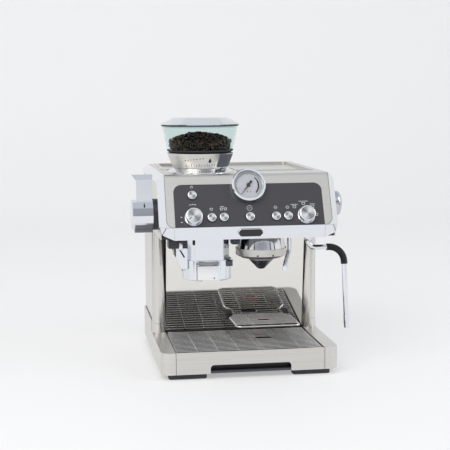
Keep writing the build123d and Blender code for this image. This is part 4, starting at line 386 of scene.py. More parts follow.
def on_panel(across, up, out):
    """Point of the sloped front from its place across, up the slope and out of it."""
    return (across, PANEL_Y + up * sin(PANEL_TILT) - out * cos(PANEL_TILT),
            PANEL_FOOT + up * cos(PANEL_TILT) + out * sin(PANEL_TILT))


def stroke(mesh, points, width, place, closed=False):
    """A flat line of a width through 2-D points, each point put in space by place."""
    for a, b in zip(points, points[1:] + (points[:1] if closed else [])):
        a, b = Vector(a), Vector(b)
        along = (b - a).normalized()
        across = Vector((-along.y, along.x)) * width / 2
        reach = along * width * 0.3
        corners = (a - reach - across, b + reach - across, b + reach + across, a - reach + across)
        mesh.faces.new([mesh.verts.new(place(*p)) for p in corners])


def arc(x, y, r, start, end, steps):
    """Points of an arc between two angles in degrees."""
    angles = [radians(start + (end - start) * i / steps) for i in range(steps + 1)]
    return [(x + r * cos(a), y + r * sin(a)) for a in angles]


def patch(mesh, points, place):
    """A flat face through 2-D points, each point put in space by place."""
    mesh.faces.new([mesh.verts.new(place(*p)) for p in points])


def bridge(mesh, loops):
    """Faces between each ring of points and the next."""
    for low, high in zip(loops, loops[1:]):
        for i in range(len(low)):
            j = (i + 1) % len(low)
            mesh.faces.new((low[i], low[j], high[j], high[i]))


low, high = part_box("badge_plate")
end_r = (high[2] - low[2]) / 2
reach = (high[0] - low[0]) / 2 - end_r
middle = Vector(((low[0] + high[0]) / 2, low[1] - SKIN, (low[2] + high[2]) / 2))
rim = bmesh.new()
loops = []
for grow, out in ((-RIM_W / 2, 0.0), (-RIM_W / 4, RIM_OUT), (RIM_W / 4, RIM_OUT), (RIM_W / 2, 0.0)):
    r = end_r + grow
    outline = arc(reach, 0, r, -90, 90, 12) + arc(-reach, 0, r, 90, 270, 12)
    loops.append([rim.verts.new(middle + Vector((x, -out, z))) for x, z in outline])
bridge(rim, loops)
bmesh.ops.recalc_face_normals(rim, faces=rim.faces)
new_piece("badge_rim", rim, chrome, "machine")

seams = bmesh.new()
corners = bmesh.new()
for side in (-1, 1):
    edge = side * FRAME_IN
    span = (180, 270) if side < 0 else (0, -90)
    corner = arc(edge - side * CORNER_R, CORNER_R, CORNER_R, *span, CORNER_STEPS)
    stroke(seams, [(edge, CORNER_R), (edge, SEAM_HEAD)], SEAM_W, lambda x, up: on_panel(x, up, 2 * SKIN))
    stroke(seams, corner, SEAM_W, lambda x, up: on_panel(x, up, 3 * SKIN))
    stroke(seams, [(side * x, z) for x, z in FOOT_SEAM], SEAM_W * 1.6,
           lambda x, z: (x, PANEL_Y - SKIN + max(0.0, abs(x) - FRAME_IN), z))
    patch(corners, corner + [(edge, 0.0)], lambda x, up: on_panel(x, up, 1.5 * SKIN))
new_piece("frame_joints", seams, black_print_and_shade, "machine", False)
new_piece("front_plate_corners", corners, chrome, "machine", False)


# ---- Control fascia ------------------------------------------------------------------------------
# A charcoal lacquered panel glued on the front plate. White screen-printed dashes stand round the left
# knob, small trays and lines round the right one, and a plain sign over each button: cups, rings and a
# power sign.
FASCIA_OUT = 0.0012
KNOB_X, POWER_UP, ROW_UP = 0.0966, 0.0565, 0.016
CUPS_X, RINGS_X = (-0.0655, -0.0448), (0.0448, 0.0655)
BUTTONS = {"single_cup_button": (CUPS_X[0], ROW_UP), "double_cup_button": (CUPS_X[1], ROW_UP),
           "start_button": (0.0, ROW_UP), "temperature_button": (RINGS_X[0], ROW_UP),
           "rinse_button": (RINGS_X[1], ROW_UP), "power_button": (-KNOB_X, POWER_UP)}
PRINT_W = 0.0007
DASH_HALF = 0.0012
DOSE_DASHES = ((-0.0042, 0.0238), (0.0, 0.0244), (0.0042, 0.0238), (-0.0203, 0.0020), (-0.0203, -0.0070))
PROGRAM_TRAYS = ((-0.0030, 0.0238, 0.0154), (0.0125, 0.0184, 0.0094), (-0.0190, 0.0184, 0.0125),
                 (0.0180, 0.0040, 0.0))       # place from the knob's middle, length of the line over it
TRAY_SIGN, TRAY_LINE_UP = (0.0028, 0.0021, 0.0040), 0.0024        # half widths at rim and foot, and height
CUP_SIGN, CUP_APART, CUPS_LINE = (0.0024, 0.0016, 0.0036), 0.0033, (-0.0050, 0.0010)
SIGN_UP, RING_SIGN_UP = 0.0152, 0.0160
POWER_R, POWER_BAR, RING_R, START_R = 0.0021, 0.0026, 0.0026, 0.0044
white_ink = moulded("white_ink", "#D9DADC", 0.55)
give(moulded("charcoal_lacquer", "#35343A", 0.36, grain_mm=0.5, depth=0.00001), "control_fascia")


def on_fascia(across, up):
    """Point on the face of the fascia."""
    return on_panel(across, up, FASCIA_OUT + SKIN)


def vessel(x, up, sign):
    """Outline of a cup or a tray from the middle of its rim."""
    rim, foot, deep = sign
    return [(x - rim, up), (x + rim, up), (x + foot, up - deep), (x - foot, up - deep)]


marks = bmesh.new()
for dx, dy in DOSE_DASHES:
    x, up = -KNOB_X + dx, ROW_UP + dy
    stroke(marks, [(x - DASH_HALF, up), (x + DASH_HALF, up)], PRINT_W * 1.5, on_fascia)
for dx, dy, wide in PROGRAM_TRAYS:
    x, up = KNOB_X + dx, ROW_UP + dy
    stroke(marks, vessel(x, up, TRAY_SIGN), PRINT_W, on_fascia, True)
    if wide:
        line_up = up + TRAY_LINE_UP
        stroke(marks, [(x - wide / 2, line_up), (x + wide / 2, line_up)], PRINT_W, on_fascia)
for name, (x, up) in BUTTONS.items():
    sign_up, ring_up = up + SIGN_UP, up + RING_SIGN_UP
    rim_up = sign_up + CUP_SIGN[2] / 2
    if name == "single_cup_button":
        stroke(marks, vessel(x, rim_up, CUP_SIGN), PRINT_W, on_fascia, True)
    elif name == "double_cup_button":
        for dx in (-CUP_APART, CUP_APART):
            stroke(marks, vessel(x + dx, rim_up, CUP_SIGN), PRINT_W, on_fascia, True)
        stroke(marks, [(x + end, rim_up + TRAY_LINE_UP) for end in CUPS_LINE], PRINT_W, on_fascia)
    elif name == "power_button":
        stroke(marks, arc(x, sign_up, POWER_R, 120, 420, 12), PRINT_W * 0.7, on_fascia)
        stroke(marks, [(x, sign_up), (x, sign_up + POWER_BAR)], PRINT_W * 0.7, on_fascia)
    else:
        r = START_R if name == "start_button" else RING_R
        stroke(marks, arc(x, ring_up, r, 0, 360, 16), PRINT_W * 0.8, on_fascia)
        stroke(marks, [(x - r / 2, ring_up), (x + r / 2, ring_up)], PRINT_W * 0.8, on_fascia)
new_piece("fascia_print", marks, white_ink, "machine", False)


# ---- Knobs and buttons ---------------------------------------------------------------------------
# Chrome-plated mouldings, the steam knob in satin chrome. The front ones have a turned aluminium cap glued
# in their face, with fine turning rings and two bright fans of painted highlight in its colour, and the two
# front knobs a black pointer line.
KNOB_OUT, BUTTON_OUT = 0.016, 0.005
KNOB_CAP, BUTTON_CAP = (0.0118, 0.0003), (0.0062, 0.0002)        # radius and rise
POINTER_FROM, POINTER_TO, POINTER_W, POINTER_OUT = 0.006, 0.0112, 0.0012, 0.0004
PAINTED_FANS = 2
TURNING_WAVE, TURNING_TONE = 9000.0, 0.04       # radians per metre, for turning marks 0.7 mm apart
CAP_EDGE = 0.0003
give(chrome, *BUTTONS, "dose_knob", "program_knob")
give(polished("satin_knob_chrome", "#C4C6CB", 0.16, 0.1), "steam_knob")
spun, tree, shader = new_material("spun_aluminium_painted_fans", "#C9CACC", 1.0, 0.24)
place = add(tree, "ShaderNodeTexCoord").outputs["Object"]
# Two bright fans of painted highlight, between darker ones, are painted into the cap's colour round its
# middle.
painted_fan = add(tree, "ShaderNodeTexGradient", {"gradient_type": "RADIAL"}, links={"Vector": place})
painted_fan = add(tree, "ShaderNodeMath", {"operation": "MULTIPLY"}, {1: 2 * pi * PAINTED_FANS}, {0: painted_fan.outputs["Fac"]})
painted_fan = add(tree, "ShaderNodeMath", {"operation": "SINE"}, links={0: painted_fan.outputs[0]})
tone = add(tree, "ShaderNodeMapRange", {},
           {"From Min": -1.0, "From Max": 1.0, "To Min": 0.34, "To Max": 0.98}, {"Value": painted_fan.outputs[0]})
reach = add(tree, "ShaderNodeVectorMath", {"operation": "LENGTH"}, links={0: place})
rings = add(tree, "ShaderNodeMath", {"operation": "MULTIPLY"}, {1: TURNING_WAVE}, {0: reach.outputs["Value"]})
rings = add(tree, "ShaderNodeMath", {"operation": "SINE"}, links={0: rings.outputs[0]})
rings = add(tree, "ShaderNodeMath", {"operation": "MULTIPLY_ADD"}, {1: TURNING_TONE},
            {0: rings.outputs[0], 2: tone.outputs[0]})
tinted = add(tree, "ShaderNodeVectorMath", {"operation": "SCALE"}, {0: linear("#E4E5E7")[:3]},
             {"Scale": rings.outputs[0]})
tree.links.new(tinted.outputs["Vector"], shader.inputs["Base Color"])


def turned_loops(mesh, profile, centre, steps):
    """Rings of points round an upright axis, one for each (radius, height)."""
    turns = [2 * pi * i / steps for i in range(steps)]
    return [[mesh.verts.new((centre[0] + r * cos(a), centre[1] + r * sin(a), z)) for a in turns]
            for r, z in profile]


def turned_cap(rim_r, rise, steps=40):
    """A shallow dished cap with a rounded rim, its middle at the origin and its face towards +Z."""
    mesh = bmesh.new()
    profile = [(rim_r, -CAP_EDGE), (rim_r, 0.0), (rim_r * 0.94, rise), (rim_r * 0.86, rise * 0.8),
               (rim_r * 0.45, rise * 0.3)]
    loops = turned_loops(mesh, profile, (0, 0), steps)
    bridge(mesh, loops)
    mesh.faces.new(loops[-1])
    return mesh


def panel_frame(across, up, out):
    """Where a piece made at the origin stands on the sloped front, facing out."""
    return Matrix.Translation(on_panel(across, up, out)) @ Matrix.Rotation(pi / 2 - PANEL_TILT, 4, "X")


def polar(r, turned):
    """Point at a radius and an angle in degrees."""
    return (r * cos(radians(turned)), r * sin(radians(turned)))


for name, (x, up) in BUTTONS.items():
    new_piece(name + "_cap", turned_cap(*BUTTON_CAP), spun, name, True,
              panel_frame(x, up, BUTTON_OUT + SKIN / 2))
for name, x, turned in (("dose", -KNOB_X, 215), ("program", KNOB_X, 140)):
    new_piece(name + "_knob_cap", turned_cap(*KNOB_CAP), spun, name, True, panel_frame(x, ROW_UP, KNOB_OUT))
    pointer = bmesh.new()
    stroke(pointer, [polar(r, turned) for r in (POINTER_FROM, POINTER_TO)], POINTER_W,
           lambda across, up: (across, up, 0.0))
    new_piece(name + "_knob_pointer", pointer, black_print_and_shade, name, False,
              panel_frame(x, ROW_UP, KNOB_OUT + POINTER_OUT))


# ---- Pressure gauge ------------------------------------------------------------------------------
# A chromed case with a printed card dial: a ring of fine ticks and two dots, and a dark crescent of painted
# shade on its right. The needle is lacquered black with a turned cap, under a flat glass.
GAUGE_UP, DIAL_OUT = 0.0705, 0.0079
DIAL_R, DIAL_FROM, DIAL_TO, TICKS = 0.0222, -50, 230, 40
TICK_R, LONG_TICK_R, LONG_EVERY = 0.0206, 0.0192, 5
TICK_W, RIM_LINE_W = 0.0005, 0.0004
DOT_X, DOT_Y, DOT_R = 0.0026, -0.0115, 0.0009
# The dark crescent on the right of the dial is painted shade: centre, radius and end angles of its two arcs.
DIAL_SHADE_OUT, DIAL_SHADE_IN, DIAL_SHADE_STEPS = (0, 0, 0.0188, -48, 52), (-0.0035, 0.0003, 0.0195, 42, -42), 16
NEEDLE_CAP, NEEDLE_CAP_OUT = (0.0034, 0.0008, 24), 0.0022
black_lacquer = moulded("black_lacquer", "#141416", 0.3)
give(chrome, "gauge_case")
give(moulded("printed_dial_card", "#BFC2C8", 0.5), "gauge_dial")
give(black_lacquer, "gauge_needle")


def on_dial(x, y):
    """Point on the printed face of the dial."""
    return on_panel(x, GAUGE_UP + y, DIAL_OUT)


dial = bmesh.new()
stroke(dial, arc(0, 0, DIAL_R, DIAL_FROM, DIAL_TO, 48), RIM_LINE_W, on_dial)
for k in range(TICKS + 1):
    turned = DIAL_FROM + (DIAL_TO - DIAL_FROM) / TICKS * k
    inner = TICK_R if k % LONG_EVERY else LONG_TICK_R
    stroke(dial, [polar(DIAL_R, turned), polar(inner, turned)], TICK_W, on_dial)
for x in (-DOT_X, DOT_X):
    patch(dial, arc(x, DOT_Y, DOT_R, 0, 330, 11), on_dial)
# The dark crescent of painted shade.
patch(dial, arc(*DIAL_SHADE_OUT, DIAL_SHADE_STEPS) + arc(*DIAL_SHADE_IN, DIAL_SHADE_STEPS), on_dial)
new_piece("dial_print_and_shade", dial, black_lacquer, "machine", False)
new_piece("needle_cap", turned_cap(*NEEDLE_CAP), black_lacquer, "needle", True,
          panel_frame(0, GAUGE_UP, DIAL_OUT + NEEDLE_CAP_OUT))


def clear(name, colour, rough, ior):
    """A clear material that wiping has left a little uneven."""
    glass = {"IOR": ior, "Transmission Weight": 1.0}
    material, tree, shader = new_material(name, colour, 0.0, rough, **glass)
    uneven(tree, shader, {"Scale": 25.0, "Detail": 3.0},
           {"From Min": 0.5, "From Max": 0.8, "To Min": rough, "To Max": rough + 0.02})
    return material


give(clear("gauge_glass", "#FFFFFF", 0.0, 1.2), "gauge_lens")


# ---- Collar and grind ring -----------------------------------------------------------------------
# A flared chrome collar on the head and a turned steel ring that sets the grind. The ring is printed with
# ticks, dots and a drop-shaped pointer, and has a dark moulded grip pad on one side.
HOPPER = (-0.072, -0.080)
RING_LOW, RING_HIGH = (0.0475, 0.3563), (0.058, 0.382)
PRINT_AT, PRINT_R, PRINT_Z = -79, 0.053, 0.3690        # angle, radius and height of the drop's middle
DROP_R = 0.0026
TICK_FIRST, TICK_STEP, TICK_COUNT = (0.010, -0.0085), 0.0048, 12
TICK_H, LONG_TICK_H, RING_TICK_W = 0.0026, 0.0040, 0.0009
SPOT_FIRST, SPOT_STEP, SPOT_COUNT, SPOT_R = (-0.0120, 0.0052), (-0.0052, -0.0006), 7, 0.0010
PAD_FROM, PAD_TO, PAD_STEPS = -60, -27, 11
PAD_FOOT, PAD_HEAD, PAD_OUT = 0.3580, 0.3812, 0.0030
PAD_EDGE = ((0.0, PAD_OUT), (0.0005, 0.0006), (0.0012, 0.0))        # in from foot or head, under the face
ring_steel = brushed_steel("steel_turned_ring", (1, 1, 0), "Z", "#D6D4CF", 0.3)
pad_grey = moulded("dark_grip_pad", "#454A55", 0.35)
give(chrome, "hopper_collar")
give(ring_steel, "grind_ring")


def on_cone(turned, height, out=1.5 * SKIN):
    """Point on the outside of the ring, or that much out of it, at an angle round the hopper's axis."""
    r = RING_LOW[0] + (height - RING_LOW[1]) / (RING_HIGH[1] - RING_LOW[1]) * (RING_HIGH[0] - RING_LOW[0])
    x, y = polar(r + out, turned)
    return (HOPPER[0] + x, HOPPER[1] + y, height)


def on_ring(x, y):
    """Point on the grind ring; x is the arc length from its pointer, y the height over its middle."""
    return on_cone(PRINT_AT + degrees(x / PRINT_R), PRINT_Z + y)


def drop_shape(r):
    """Outline of a drop with its point upwards."""
    return arc(0, 0, r, 150, 390, 14) + [(0, r * 2.3)]


marks = bmesh.new()
patch(marks, drop_shape(DROP_R), on_ring)
for k in range(TICK_COUNT):
    x, foot = TICK_FIRST[0] - TICK_STEP * k, TICK_FIRST[1]
    stroke(marks, [(x, foot), (x, foot + (TICK_H if k % 3 else LONG_TICK_H))], RING_TICK_W, on_ring)
for k in range(SPOT_COUNT):
    x, y = [first + step * k for first, step in zip(SPOT_FIRST, SPOT_STEP)]
    patch(marks, arc(x, y, SPOT_R, 0, 315, 7), on_ring)
new_piece("ring_print", marks, black_print_and_shade, "grind_setting", False)

pad = bmesh.new()
outline = [(PAD_FOOT + inwards, PAD_OUT - under) for inwards, under in PAD_EDGE]
outline += [(PAD_HEAD - inwards, PAD_OUT - under) for inwards, under in PAD_EDGE[::-1]]
rows = [[pad.verts.new(on_cone(PAD_FROM + (PAD_TO - PAD_FROM) * k / PAD_STEPS, z, out)) for z, out in outline]
        for k in range(PAD_STEPS + 1)]
for low, high in zip(rows, rows[1:]):
    for i in range(len(outline) - 1):
        pad.faces.new((low[i], high[i], high[i + 1], low[i + 1]))
for end in (rows[0], rows[-1][::-1]):
    pad.faces.new(end)
bmesh.ops.recalc_face_normals(pad, faces=pad.faces)
new_piece("ring_grip_pad", pad, pad_grey, "grind_setting", False)


# ---- Bean bowl, lid and gasket -------------------------------------------------------------------
# The bowl is moulded in clear SAN with a faint cold tint, as the water tank is. Its index is set low,
# because the white studio would veil the beans otherwise. A black rubber band sits round its foot, and a
# black gasket under the chromed lid.
BOWL_FOOT, BOWL_WAIST, BOWL_TOP = (0.0450, 0.3783), (0.0570, 0.3868), (0.0670, 0.4301)
give(clear("tinted_clear_san", "#E7F2F1", 0.0, 1.16), "hopper_bowl", "water_tank")
give(chrome, "hopper_lid")
black_rubber = moulded("black_rubber", "#202024", 0.65)


def lathe(profile, centre, steps=64):
    """A closed turned shape from (radius, height) points round an upright axis."""
    mesh = bmesh.new()
    loops = turned_loops(mesh, profile, centre, steps)
    bridge(mesh, loops + loops[:1])
    bmesh.ops.recalc_face_normals(mesh, faces=mesh.faces)
    return mesh


band = [(BOWL_FOOT[0] + 0.0070, BOWL_FOOT[1] + 0.0046), (BOWL_WAIST[0] + 0.0002, BOWL_WAIST[1] - 0.0002),
        (BOWL_WAIST[0] + 0.0006, BOWL_WAIST[1] + 0.0011), (BOWL_WAIST[0] + 0.0012, BOWL_WAIST[1] + 0.0006),
        (BOWL_WAIST[0] + 0.0008, BOWL_WAIST[1] - 0.0010), (BOWL_FOOT[0] + 0.0078, BOWL_FOOT[1] + 0.0040)]
new_piece("bowl_foot_band", lathe(band, HOPPER), black_rubber, "hopper")
gasket = [(BOWL_TOP[0] - 0.0002, BOWL_TOP[1] - 0.0016), (BOWL_TOP[0] + 0.0008, BOWL_TOP[1] - 0.0013),
          (BOWL_TOP[0] + 0.0011, BOWL_TOP[1] - 0.0006), (BOWL_TOP[0] + 0.0008, BOWL_TOP[1] - 0.0001),
          (BOWL_TOP[0] + 0.0001, BOWL_TOP[1] - 0.0001)]
new_piece("lid_gasket", lathe(gasket, HOPPER), black_rubber, "hopper")


# ---- Coffee beans --------------------------------------------------------------------------------
# Dark roasted beans, each a half egg with a furrow along its flat side, a little oily. They lie round the
# wall and over a heap in the middle of the bowl. Their colour drifts at random, and its brightest orange
# spots are painted glints.
BEAN = (0.0047, 0.0033, 0.0023)
BEAN_RINGS, BEAN_STEPS = 6, 10
BACK_FLAT, FURROW_DEEP, FURROW_WIDE = 0.45, 0.25, 0.35
BOWL_IN_LOW, BOWL_IN_HIGH = (0.0545, 0.38795), (0.0645, 0.43000)
WALL_ROWS, WALL_Z, WALL_STEP, WALL_GAP = 4, 0.3862, 0.0052, 0.0044
FIRST_ROW_R, BEAN_PITCH = 0.0475, 0.0078
HEAP_TOP, HEAP_EDGE, HEAP_R, HEAP_BEND = 0.4166, 0.4030, 0.054, 2.4
HEAP_LAYERS = ((0.0525, 150), (0.047, 110))         # radius and number of beans
LAYER_STEP, GOLDEN_TURN = 0.0012, 2.399963
BEAN_TILT, BEAN_SHIFT, BEAN_LIFT, BEAN_SINK = 0.45, 0.15, 0.0008, (0.0008, 0.0032)        # random parts
CORE_STEPS = 48
HEAP_CORE = ((0.0005, 0.3665), (0.0210, 0.3665), (0.0210, 0.3820), (0.0440, 0.3820), (0.0490, 0.3900),
             (0.0510, 0.4010), (0.0300, 0.4105), (0.0005, 0.4135))
# Roast tone that drifts at random from spot to spot; its brightest orange stop paints glints.
ROAST_AND_GLINTS = (("#0C0604", 0.42), ("#26130A", 0.56), ("#96561F", 0.74))
random.seed(11)
beans = bmesh.new()


def bowl_r(z):
    """Inner radius of the bowl at a height."""
    (low_r, low_z), (high_r, high_z) = BOWL_IN_LOW, BOWL_IN_HIGH
    return low_r + (z - low_z) / (high_z - low_z) * (high_r - low_r)


def put_bean(place):
    """One bean with its furrow on local +Z."""
    loops = []
    for j in range(1, BEAN_RINGS):
        along, wide = cos(pi * j / BEAN_RINGS), sin(pi * j / BEAN_RINGS)
        loop = []
        for i in range(BEAN_STEPS):
            a = 2 * pi * i / BEAN_STEPS
            y, z = wide * cos(a), wide * sin(a)
            if z > 0:
                z = z * BACK_FLAT - FURROW_DEEP * max(0.0, 1 - abs(y) / FURROW_WIDE) * wide
            loop.append(beans.verts.new(place @ Vector((along * BEAN[0], y * BEAN[1], z * BEAN[2]))))
        loops.append(loop)
    bridge(beans, loops)
    tips = [beans.verts.new(place @ Vector((side * BEAN[0], 0, 0))) for side in (1, -1)]
    for i in range(BEAN_STEPS):
        beans.faces.new((tips[0], loops[0][(i + 1) % BEAN_STEPS], loops[0][i]))
        beans.faces.new((tips[1], loops[-1][i], loops[-1][(i + 1) % BEAN_STEPS]))


def scatter(r, turned, z, outwards):
    """A bean at a place round the hopper's axis, its flat side roughly along outwards, turned at random."""
    tilt = Vector([random.uniform(-BEAN_TILT, BEAN_TILT) for axis in range(3)])
    facing = (Vector(outwards) + tilt).normalized().to_track_quat("Z", "X").to_matrix().to_4x4()
    spin = Matrix.Rotation(random.uniform(0, 2 * pi), 4, "Z")
    place = Matrix.Translation((HOPPER[0] + r * cos(turned), HOPPER[1] + r * sin(turned), z))
    put_bean(place @ facing @ spin)


for row in range(WALL_ROWS):
    level = WALL_Z + WALL_STEP * row
    r = bowl_r(level) - WALL_GAP if row else FIRST_ROW_R
    count = int(2 * pi * r / BEAN_PITCH)
    for k in range(count):
        turned = 2 * pi * (k + 0.5 * (row % 2) + random.uniform(-BEAN_SHIFT, BEAN_SHIFT)) / count
        z = level + random.uniform(-BEAN_LIFT, BEAN_LIFT)
        side = 1 if random.random() < 0.5 else -1
        scatter(r, turned, z, (side * cos(turned), side * sin(turned), 0.0))
for layer, (layer_r, count) in enumerate(HEAP_LAYERS):
    for k in range(count):
        r = layer_r * ((k + 0.5) / count) ** 0.5
        z = HEAP_EDGE + (HEAP_TOP - HEAP_EDGE) * (1 - (r / HEAP_R) ** HEAP_BEND) + layer * LAYER_STEP
        z -= random.uniform(*BEAN_SINK)
        scatter(r, k * GOLDEN_TURN + layer, z, (0, 0, random.choice((-1, 1))))
bridge(beans, turned_loops(beans, HEAP_CORE, HOPPER, CORE_STEPS))
bmesh.ops.recalc_face_normals(beans, faces=beans.faces)
roast, tree, shader = new_material("roasted_beans", "#2B1A12", 0.0, 0.32, **{"Specular IOR Level": 0.15})
place = add(tree, "ShaderNodeTexCoord").outputs["Object"]
spots = add(tree, "ShaderNodeTexNoise", sockets={"Scale": 150.0, "Detail": 3.0}, links={"Vector": place})
tone = add(tree, "ShaderNodeValToRGB", links={"Fac": spots.outputs["Fac"]}, stops=ROAST_AND_GLINTS)
tree.links.new(tone.outputs["Color"], shader.inputs["Base Color"])
bump = add(tree, "ShaderNodeBump", sockets={"Strength": 0.4, "Distance": 0.0002},
           links={"Height": spots.outputs["Fac"]})
tree.links.new(bump.outputs["Normal"], shader.inputs["Normal"])
loose_beans = new_piece("loose_beans", beans, roast, "hopper")
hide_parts("coffee_beans")


# ---- Grinder outlet and dosing cradle ------------------------------------------------------------
# Chrome-plated castings screwed up into the head, the cradle's bracket with a pin hole and a slot drawn as
# dark patches of painted shade. Its front plate is satin plated, with joint lines and a small printed
# triangle, and a grey band of painted shade over it where the ledge above shades it. A black guide block with
# a chromed pin steers the tamper, and a dark tab stops the filter holder.
BRACKET_Y, PLATE_Y, PLATE_SHADE_Y = -0.1211, -0.1396, -0.1382
PIN_HOLE, SLOT_ENDS, SLOT_W = (-0.1140, 0.2168, 0.0020), [(-0.1128, 0.2140), (-0.1066, 0.2035)], 0.0026
PLATE_LOW, PLATE_HIGH = (-0.0875, PLATE_Y, 0.1640), (-0.0487, -0.1300, 0.1905)
PLATE_JOINT, PLATE_JOINT_W = [(-0.0869, 0.1650), (-0.0869, 0.1899), (-0.0497, 0.1899)], 0.0011
TRIANGLE = ((-0.0590, 0.1690), (-0.0552, 0.1690), (-0.0571, 0.1662))
PLATE_SHADE_BAND = ((-0.0885, 0.1912), (-0.0477, 0.1912), (-0.0477, 0.1965), (-0.0885, 0.1965))
GUIDE_LOW, GUIDE_HIGH = (-0.1365, -0.1500, 0.2225), (-0.1040, -0.1240, 0.2397)
PIN_AT = (-0.1158, -0.1515)
PIN_SHAPE = ((0.0005, 0.2205), (0.0026, 0.2205), (0.0034, 0.2213), (0.0034, 0.2395), (0.0005, 0.2395))
TAB_LOW, TAB_HIGH = (-0.0345, -0.1265, 0.1862), (-0.0225, -0.1150, 0.1960)
give(chrome, "grinder_outlet", "dosing_cradle")


def in_front(y):
    """Puts (across, height) points on an upright plane that faces the front."""
    return lambda x, z: (x, y, z)


def bevelled_box(low, high, bevel):
    """A box with rounded edges between two corners."""
    mesh = bmesh.new()
    made = bmesh.ops.create_cube(mesh, size=1.0)
    for vert in made["verts"]:
        vert.co = [(a + b) / 2 + c * (b - a) for a, b, c in zip(low, high, vert.co)]
    bmesh.ops.bevel(mesh, geom=mesh.edges[:], offset=bevel, segments=3, affect="EDGES", profile=0.5)
    return mesh


# The pin hole and the slot are dark patches of painted shade.
bracket = bmesh.new()
patch(bracket, arc(*PIN_HOLE, 0, 330, 11), in_front(BRACKET_Y))
stroke(bracket, SLOT_ENDS, SLOT_W, in_front(BRACKET_Y))
new_piece("bracket_slot_shade", bracket, black_print_and_shade, "machine", False)
new_piece("cradle_front_plate", bevelled_box(PLATE_LOW, PLATE_HIGH, 0.0012),
          polished("satin_chrome_plate", "#F4F4F5", 0.32, 0.06), "machine")
edge = bmesh.new()
stroke(edge, PLATE_JOINT, PLATE_JOINT_W, in_front(PLATE_Y - SKIN / 2))
patch(edge, TRIANGLE, in_front(PLATE_Y - SKIN / 2))
new_piece("cradle_plate_edge", edge, black_print_and_shade, "machine", False)
# A grey band of painted shade over the front plate, where the ledge above shades it.
shade_band = bmesh.new()
patch(shade_band, PLATE_SHADE_BAND, in_front(PLATE_SHADE_Y))
new_piece("cradle_shade_band", shade_band, moulded("painted_shade_grey", "#8C8D92", 0.3), "machine", False)
new_piece("tamper_guide_block", bevelled_box(GUIDE_LOW, GUIDE_HIGH, 0.0015),
          moulded("guide_block_abs", "#2C2C33", 0.4), "machine")
new_piece("tamper_guide_pin", lathe(PIN_SHAPE, PIN_AT, steps=24), chrome, "machine")
new_piece("cradle_stop_tab", bevelled_box(TAB_LOW, TAB_HIGH, 0.0012), pad_grey, "machine")


# ---- Brew group ----------------------------------------------------------------------------------
# A chromed skirt under the head, a turned steel collar for the filter holder, and a polished cone in its
# middle. The dark round boss beside it is the plug of the brew head, and the floors of two drilled dimples in
# the collar are painted shade.
DIMPLES_X, DIMPLE_Y, DIMPLE_Z, DIMPLE_R = (0.0205, 0.0475), -0.1316, 0.2033, 0.0017
BOSS_AT = (-0.0170, -0.1180)
BOSS_SHAPE = ((0.0005, 0.2235), (0.0060, 0.2237), (0.0080, 0.2255), (0.0086, 0.2290), (0.0086, 0.2395),
              (0.0005, 0.2395))
give(chrome, "group_shroud")
give(ring_steel, "brew_ring")
give(polished("dark_polished_steel", "#7C7E88", 0.12, 0.08), "diffuser_cone")
# The floors of the two dimples are dark patches of painted shade.
dimples = bmesh.new()
for x in DIMPLES_X:
    patch(dimples, arc(x, DIMPLE_Z, DIMPLE_R, 0, 330, 11), in_front(DIMPLE_Y))
new_piece("ring_dimple_shade", dimples, black_print_and_shade, "machine", False)
new_piece("group_side_boss", lathe(BOSS_SHAPE, BOSS_AT, steps=40), moulded("navy_boss", "#2A3142", 0.25),
          "machine")


# ---- Hot water spout and steam wand --------------------------------------------------------------
# Bent stainless tubes, polished and chromed. A black rubber sleeve with fine ribs covers the wide bend of
# the wand, so that it can be held.
WAND_AXIS = joints["wand_swing"]["pos_m"]
SLEEVE_END, SLEEVE_IN, SLEEVE_OUT = 0.0046, 0.00515, 0.00625        # radii at its ends, off and on a rib
RIB_PITCH, RIB_STEP, SLEEVE_SIDES = 0.0024, 0.0003, 28
LEVEL_Z, BEND_R, BEND_START, STRAIGHT = 0.2125, 0.028, 0.03773, 0.0041
BEND_TURN = pi / 2 - radians(2.571)
give(chrome, "hot_water_spout", "steam_wand")


def along_sleeve(run):
    """Reach, height and downward turn of the sleeve's axis after a run from its start."""
    if run < STRAIGHT:
        return BEND_START - STRAIGHT + run, LEVEL_Z, 0.0
    turned = min((run - STRAIGHT) / BEND_R, BEND_TURN)
    rest = max(0.0, run - STRAIGHT - BEND_R * BEND_TURN)
    reach = BEND_START + BEND_R * sin(turned) + rest * cos(turned)
    return reach, LEVEL_Z - BEND_R + BEND_R * cos(turned) - rest * sin(turned), turned


stations = []
run = 0.0
while run <= STRAIGHT + BEND_R * BEND_TURN + STRAIGHT:
    wave = 0.5 + 0.5 * cos(2 * pi * run / RIB_PITCH)
    stations.append((*along_sleeve(run), SLEEVE_IN + (SLEEVE_OUT - SLEEVE_IN) * wave ** 0.5))
    run += RIB_STEP
stations = [(*stations[0][:3], SLEEVE_END)] + stations + [(*stations[-1][:3], SLEEVE_END)]
sleeve = bmesh.new()
loops = []
for reach, height, heading, r in stations:
    across = Vector((sin(heading), 0.0, cos(heading)))
    middle = Vector((WAND_AXIS[0] + reach, WAND_AXIS[1], height))
    turns = [2 * pi * i / SLEEVE_SIDES for i in range(SLEEVE_SIDES)]
    sides = [cos(a) * across + sin(a) * Vector((0, 1, 0)) for a in turns]
    loops.append([sleeve.verts.new(middle + r * out) for out in sides])
bridge(sleeve, loops)
bmesh.ops.recalc_face_normals(sleeve, faces=sleeve.faces)
ribbed_sleeve = new_piece("ribbed_sleeve", sleeve, black_rubber, "wand")
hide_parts("wand_grip")


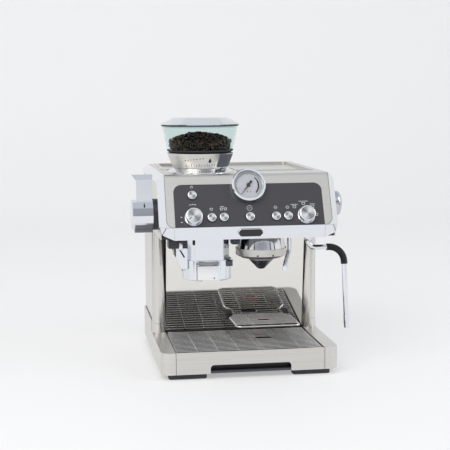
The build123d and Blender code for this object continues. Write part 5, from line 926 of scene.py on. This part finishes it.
# ---- Tamping lever and tamper --------------------------------------------------------------------
# A chrome-plated casting with a flat-sided hub, on a dark moulded bearing plate. A drop-shaped mark is
# printed on the hub and a grey moulded heel is fitted under it. The tamper inside the outlet is chromed too.
LEVER_AXIS = joints["lever_pull"]["pos_m"]
HUB_X, FACET = -0.1740, 0.02515
DROP_MARK_R, DROP_NARROW, DROP_TALL, DROP_DOWN = 0.0018, 0.8, 2, 0.002
SHOE_FROM, SHOE_TO = -0.1902, -0.1592
SHOE_OUT = ((-0.0192, -0.0173), (-0.0135, -0.0232), (-0.0097, -0.0243), (-0.0097, -0.0304), (0.0097, -0.0304),
            (0.0097, -0.0255))        # depth and height from the lever's axis, outside and inside
SHOE_IN = ((0.0090, -0.0250), (0.0090, -0.0300), (-0.0090, -0.0300), (-0.0090, -0.0235), (-0.0130, -0.0225),
           (-0.0187, -0.0168))
give(chrome, "tamp_lever", "tamper")
give(moulded("navy_bearing_abs", "#20222E", 0.4), "lever_flange")


def on_hub(across, up):
    """Point on the facet of the hub that slants up to the front."""
    slant = sin(pi / 4)
    return (HUB_X + across, LEVER_AXIS[1] + slant * (up - FACET), LEVER_AXIS[2] + slant * (up + FACET))


mark = bmesh.new()
patch(mark, [(x * DROP_NARROW, y * DROP_TALL - DROP_DOWN) for x, y in drop_shape(DROP_MARK_R)], on_hub)
new_piece("lever_mark", mark, black_print_and_shade, "lever", False)
shoe = bmesh.new()
ends = [[shoe.verts.new((x, LEVER_AXIS[1] + y, LEVER_AXIS[2] + z)) for y, z in SHOE_OUT + SHOE_IN]
        for x in (SHOE_FROM, SHOE_TO)]
bridge(shoe, ends)
for end in ends:
    shoe.faces.new(end)
bmesh.ops.recalc_face_normals(shoe, faces=shoe.faces)
new_piece("lever_heel_shoe", shoe, moulded("heel_abs", "#6A6B73", 0.4), "lever", False)


# ---- Inner works ---------------------------------------------------------------------------------
# Zinc-plated frame, cast aluminium boiler and burrs, lacquered motors and a green circuit board. They sit
# inside the body and the head, and hardly show from outside.
give(zinc, "inner_frame")
give(polished("cast_aluminium", "#B3B4B6", 0.42, 0.15), "boiler", "burr_spindle")
give(moulded("grey_lacquer", "#5A5C60", 0.4), "grinder_motor", "pump")
give(moulded("green_solder_mask", "#1E5A34", 0.35), "control_board")
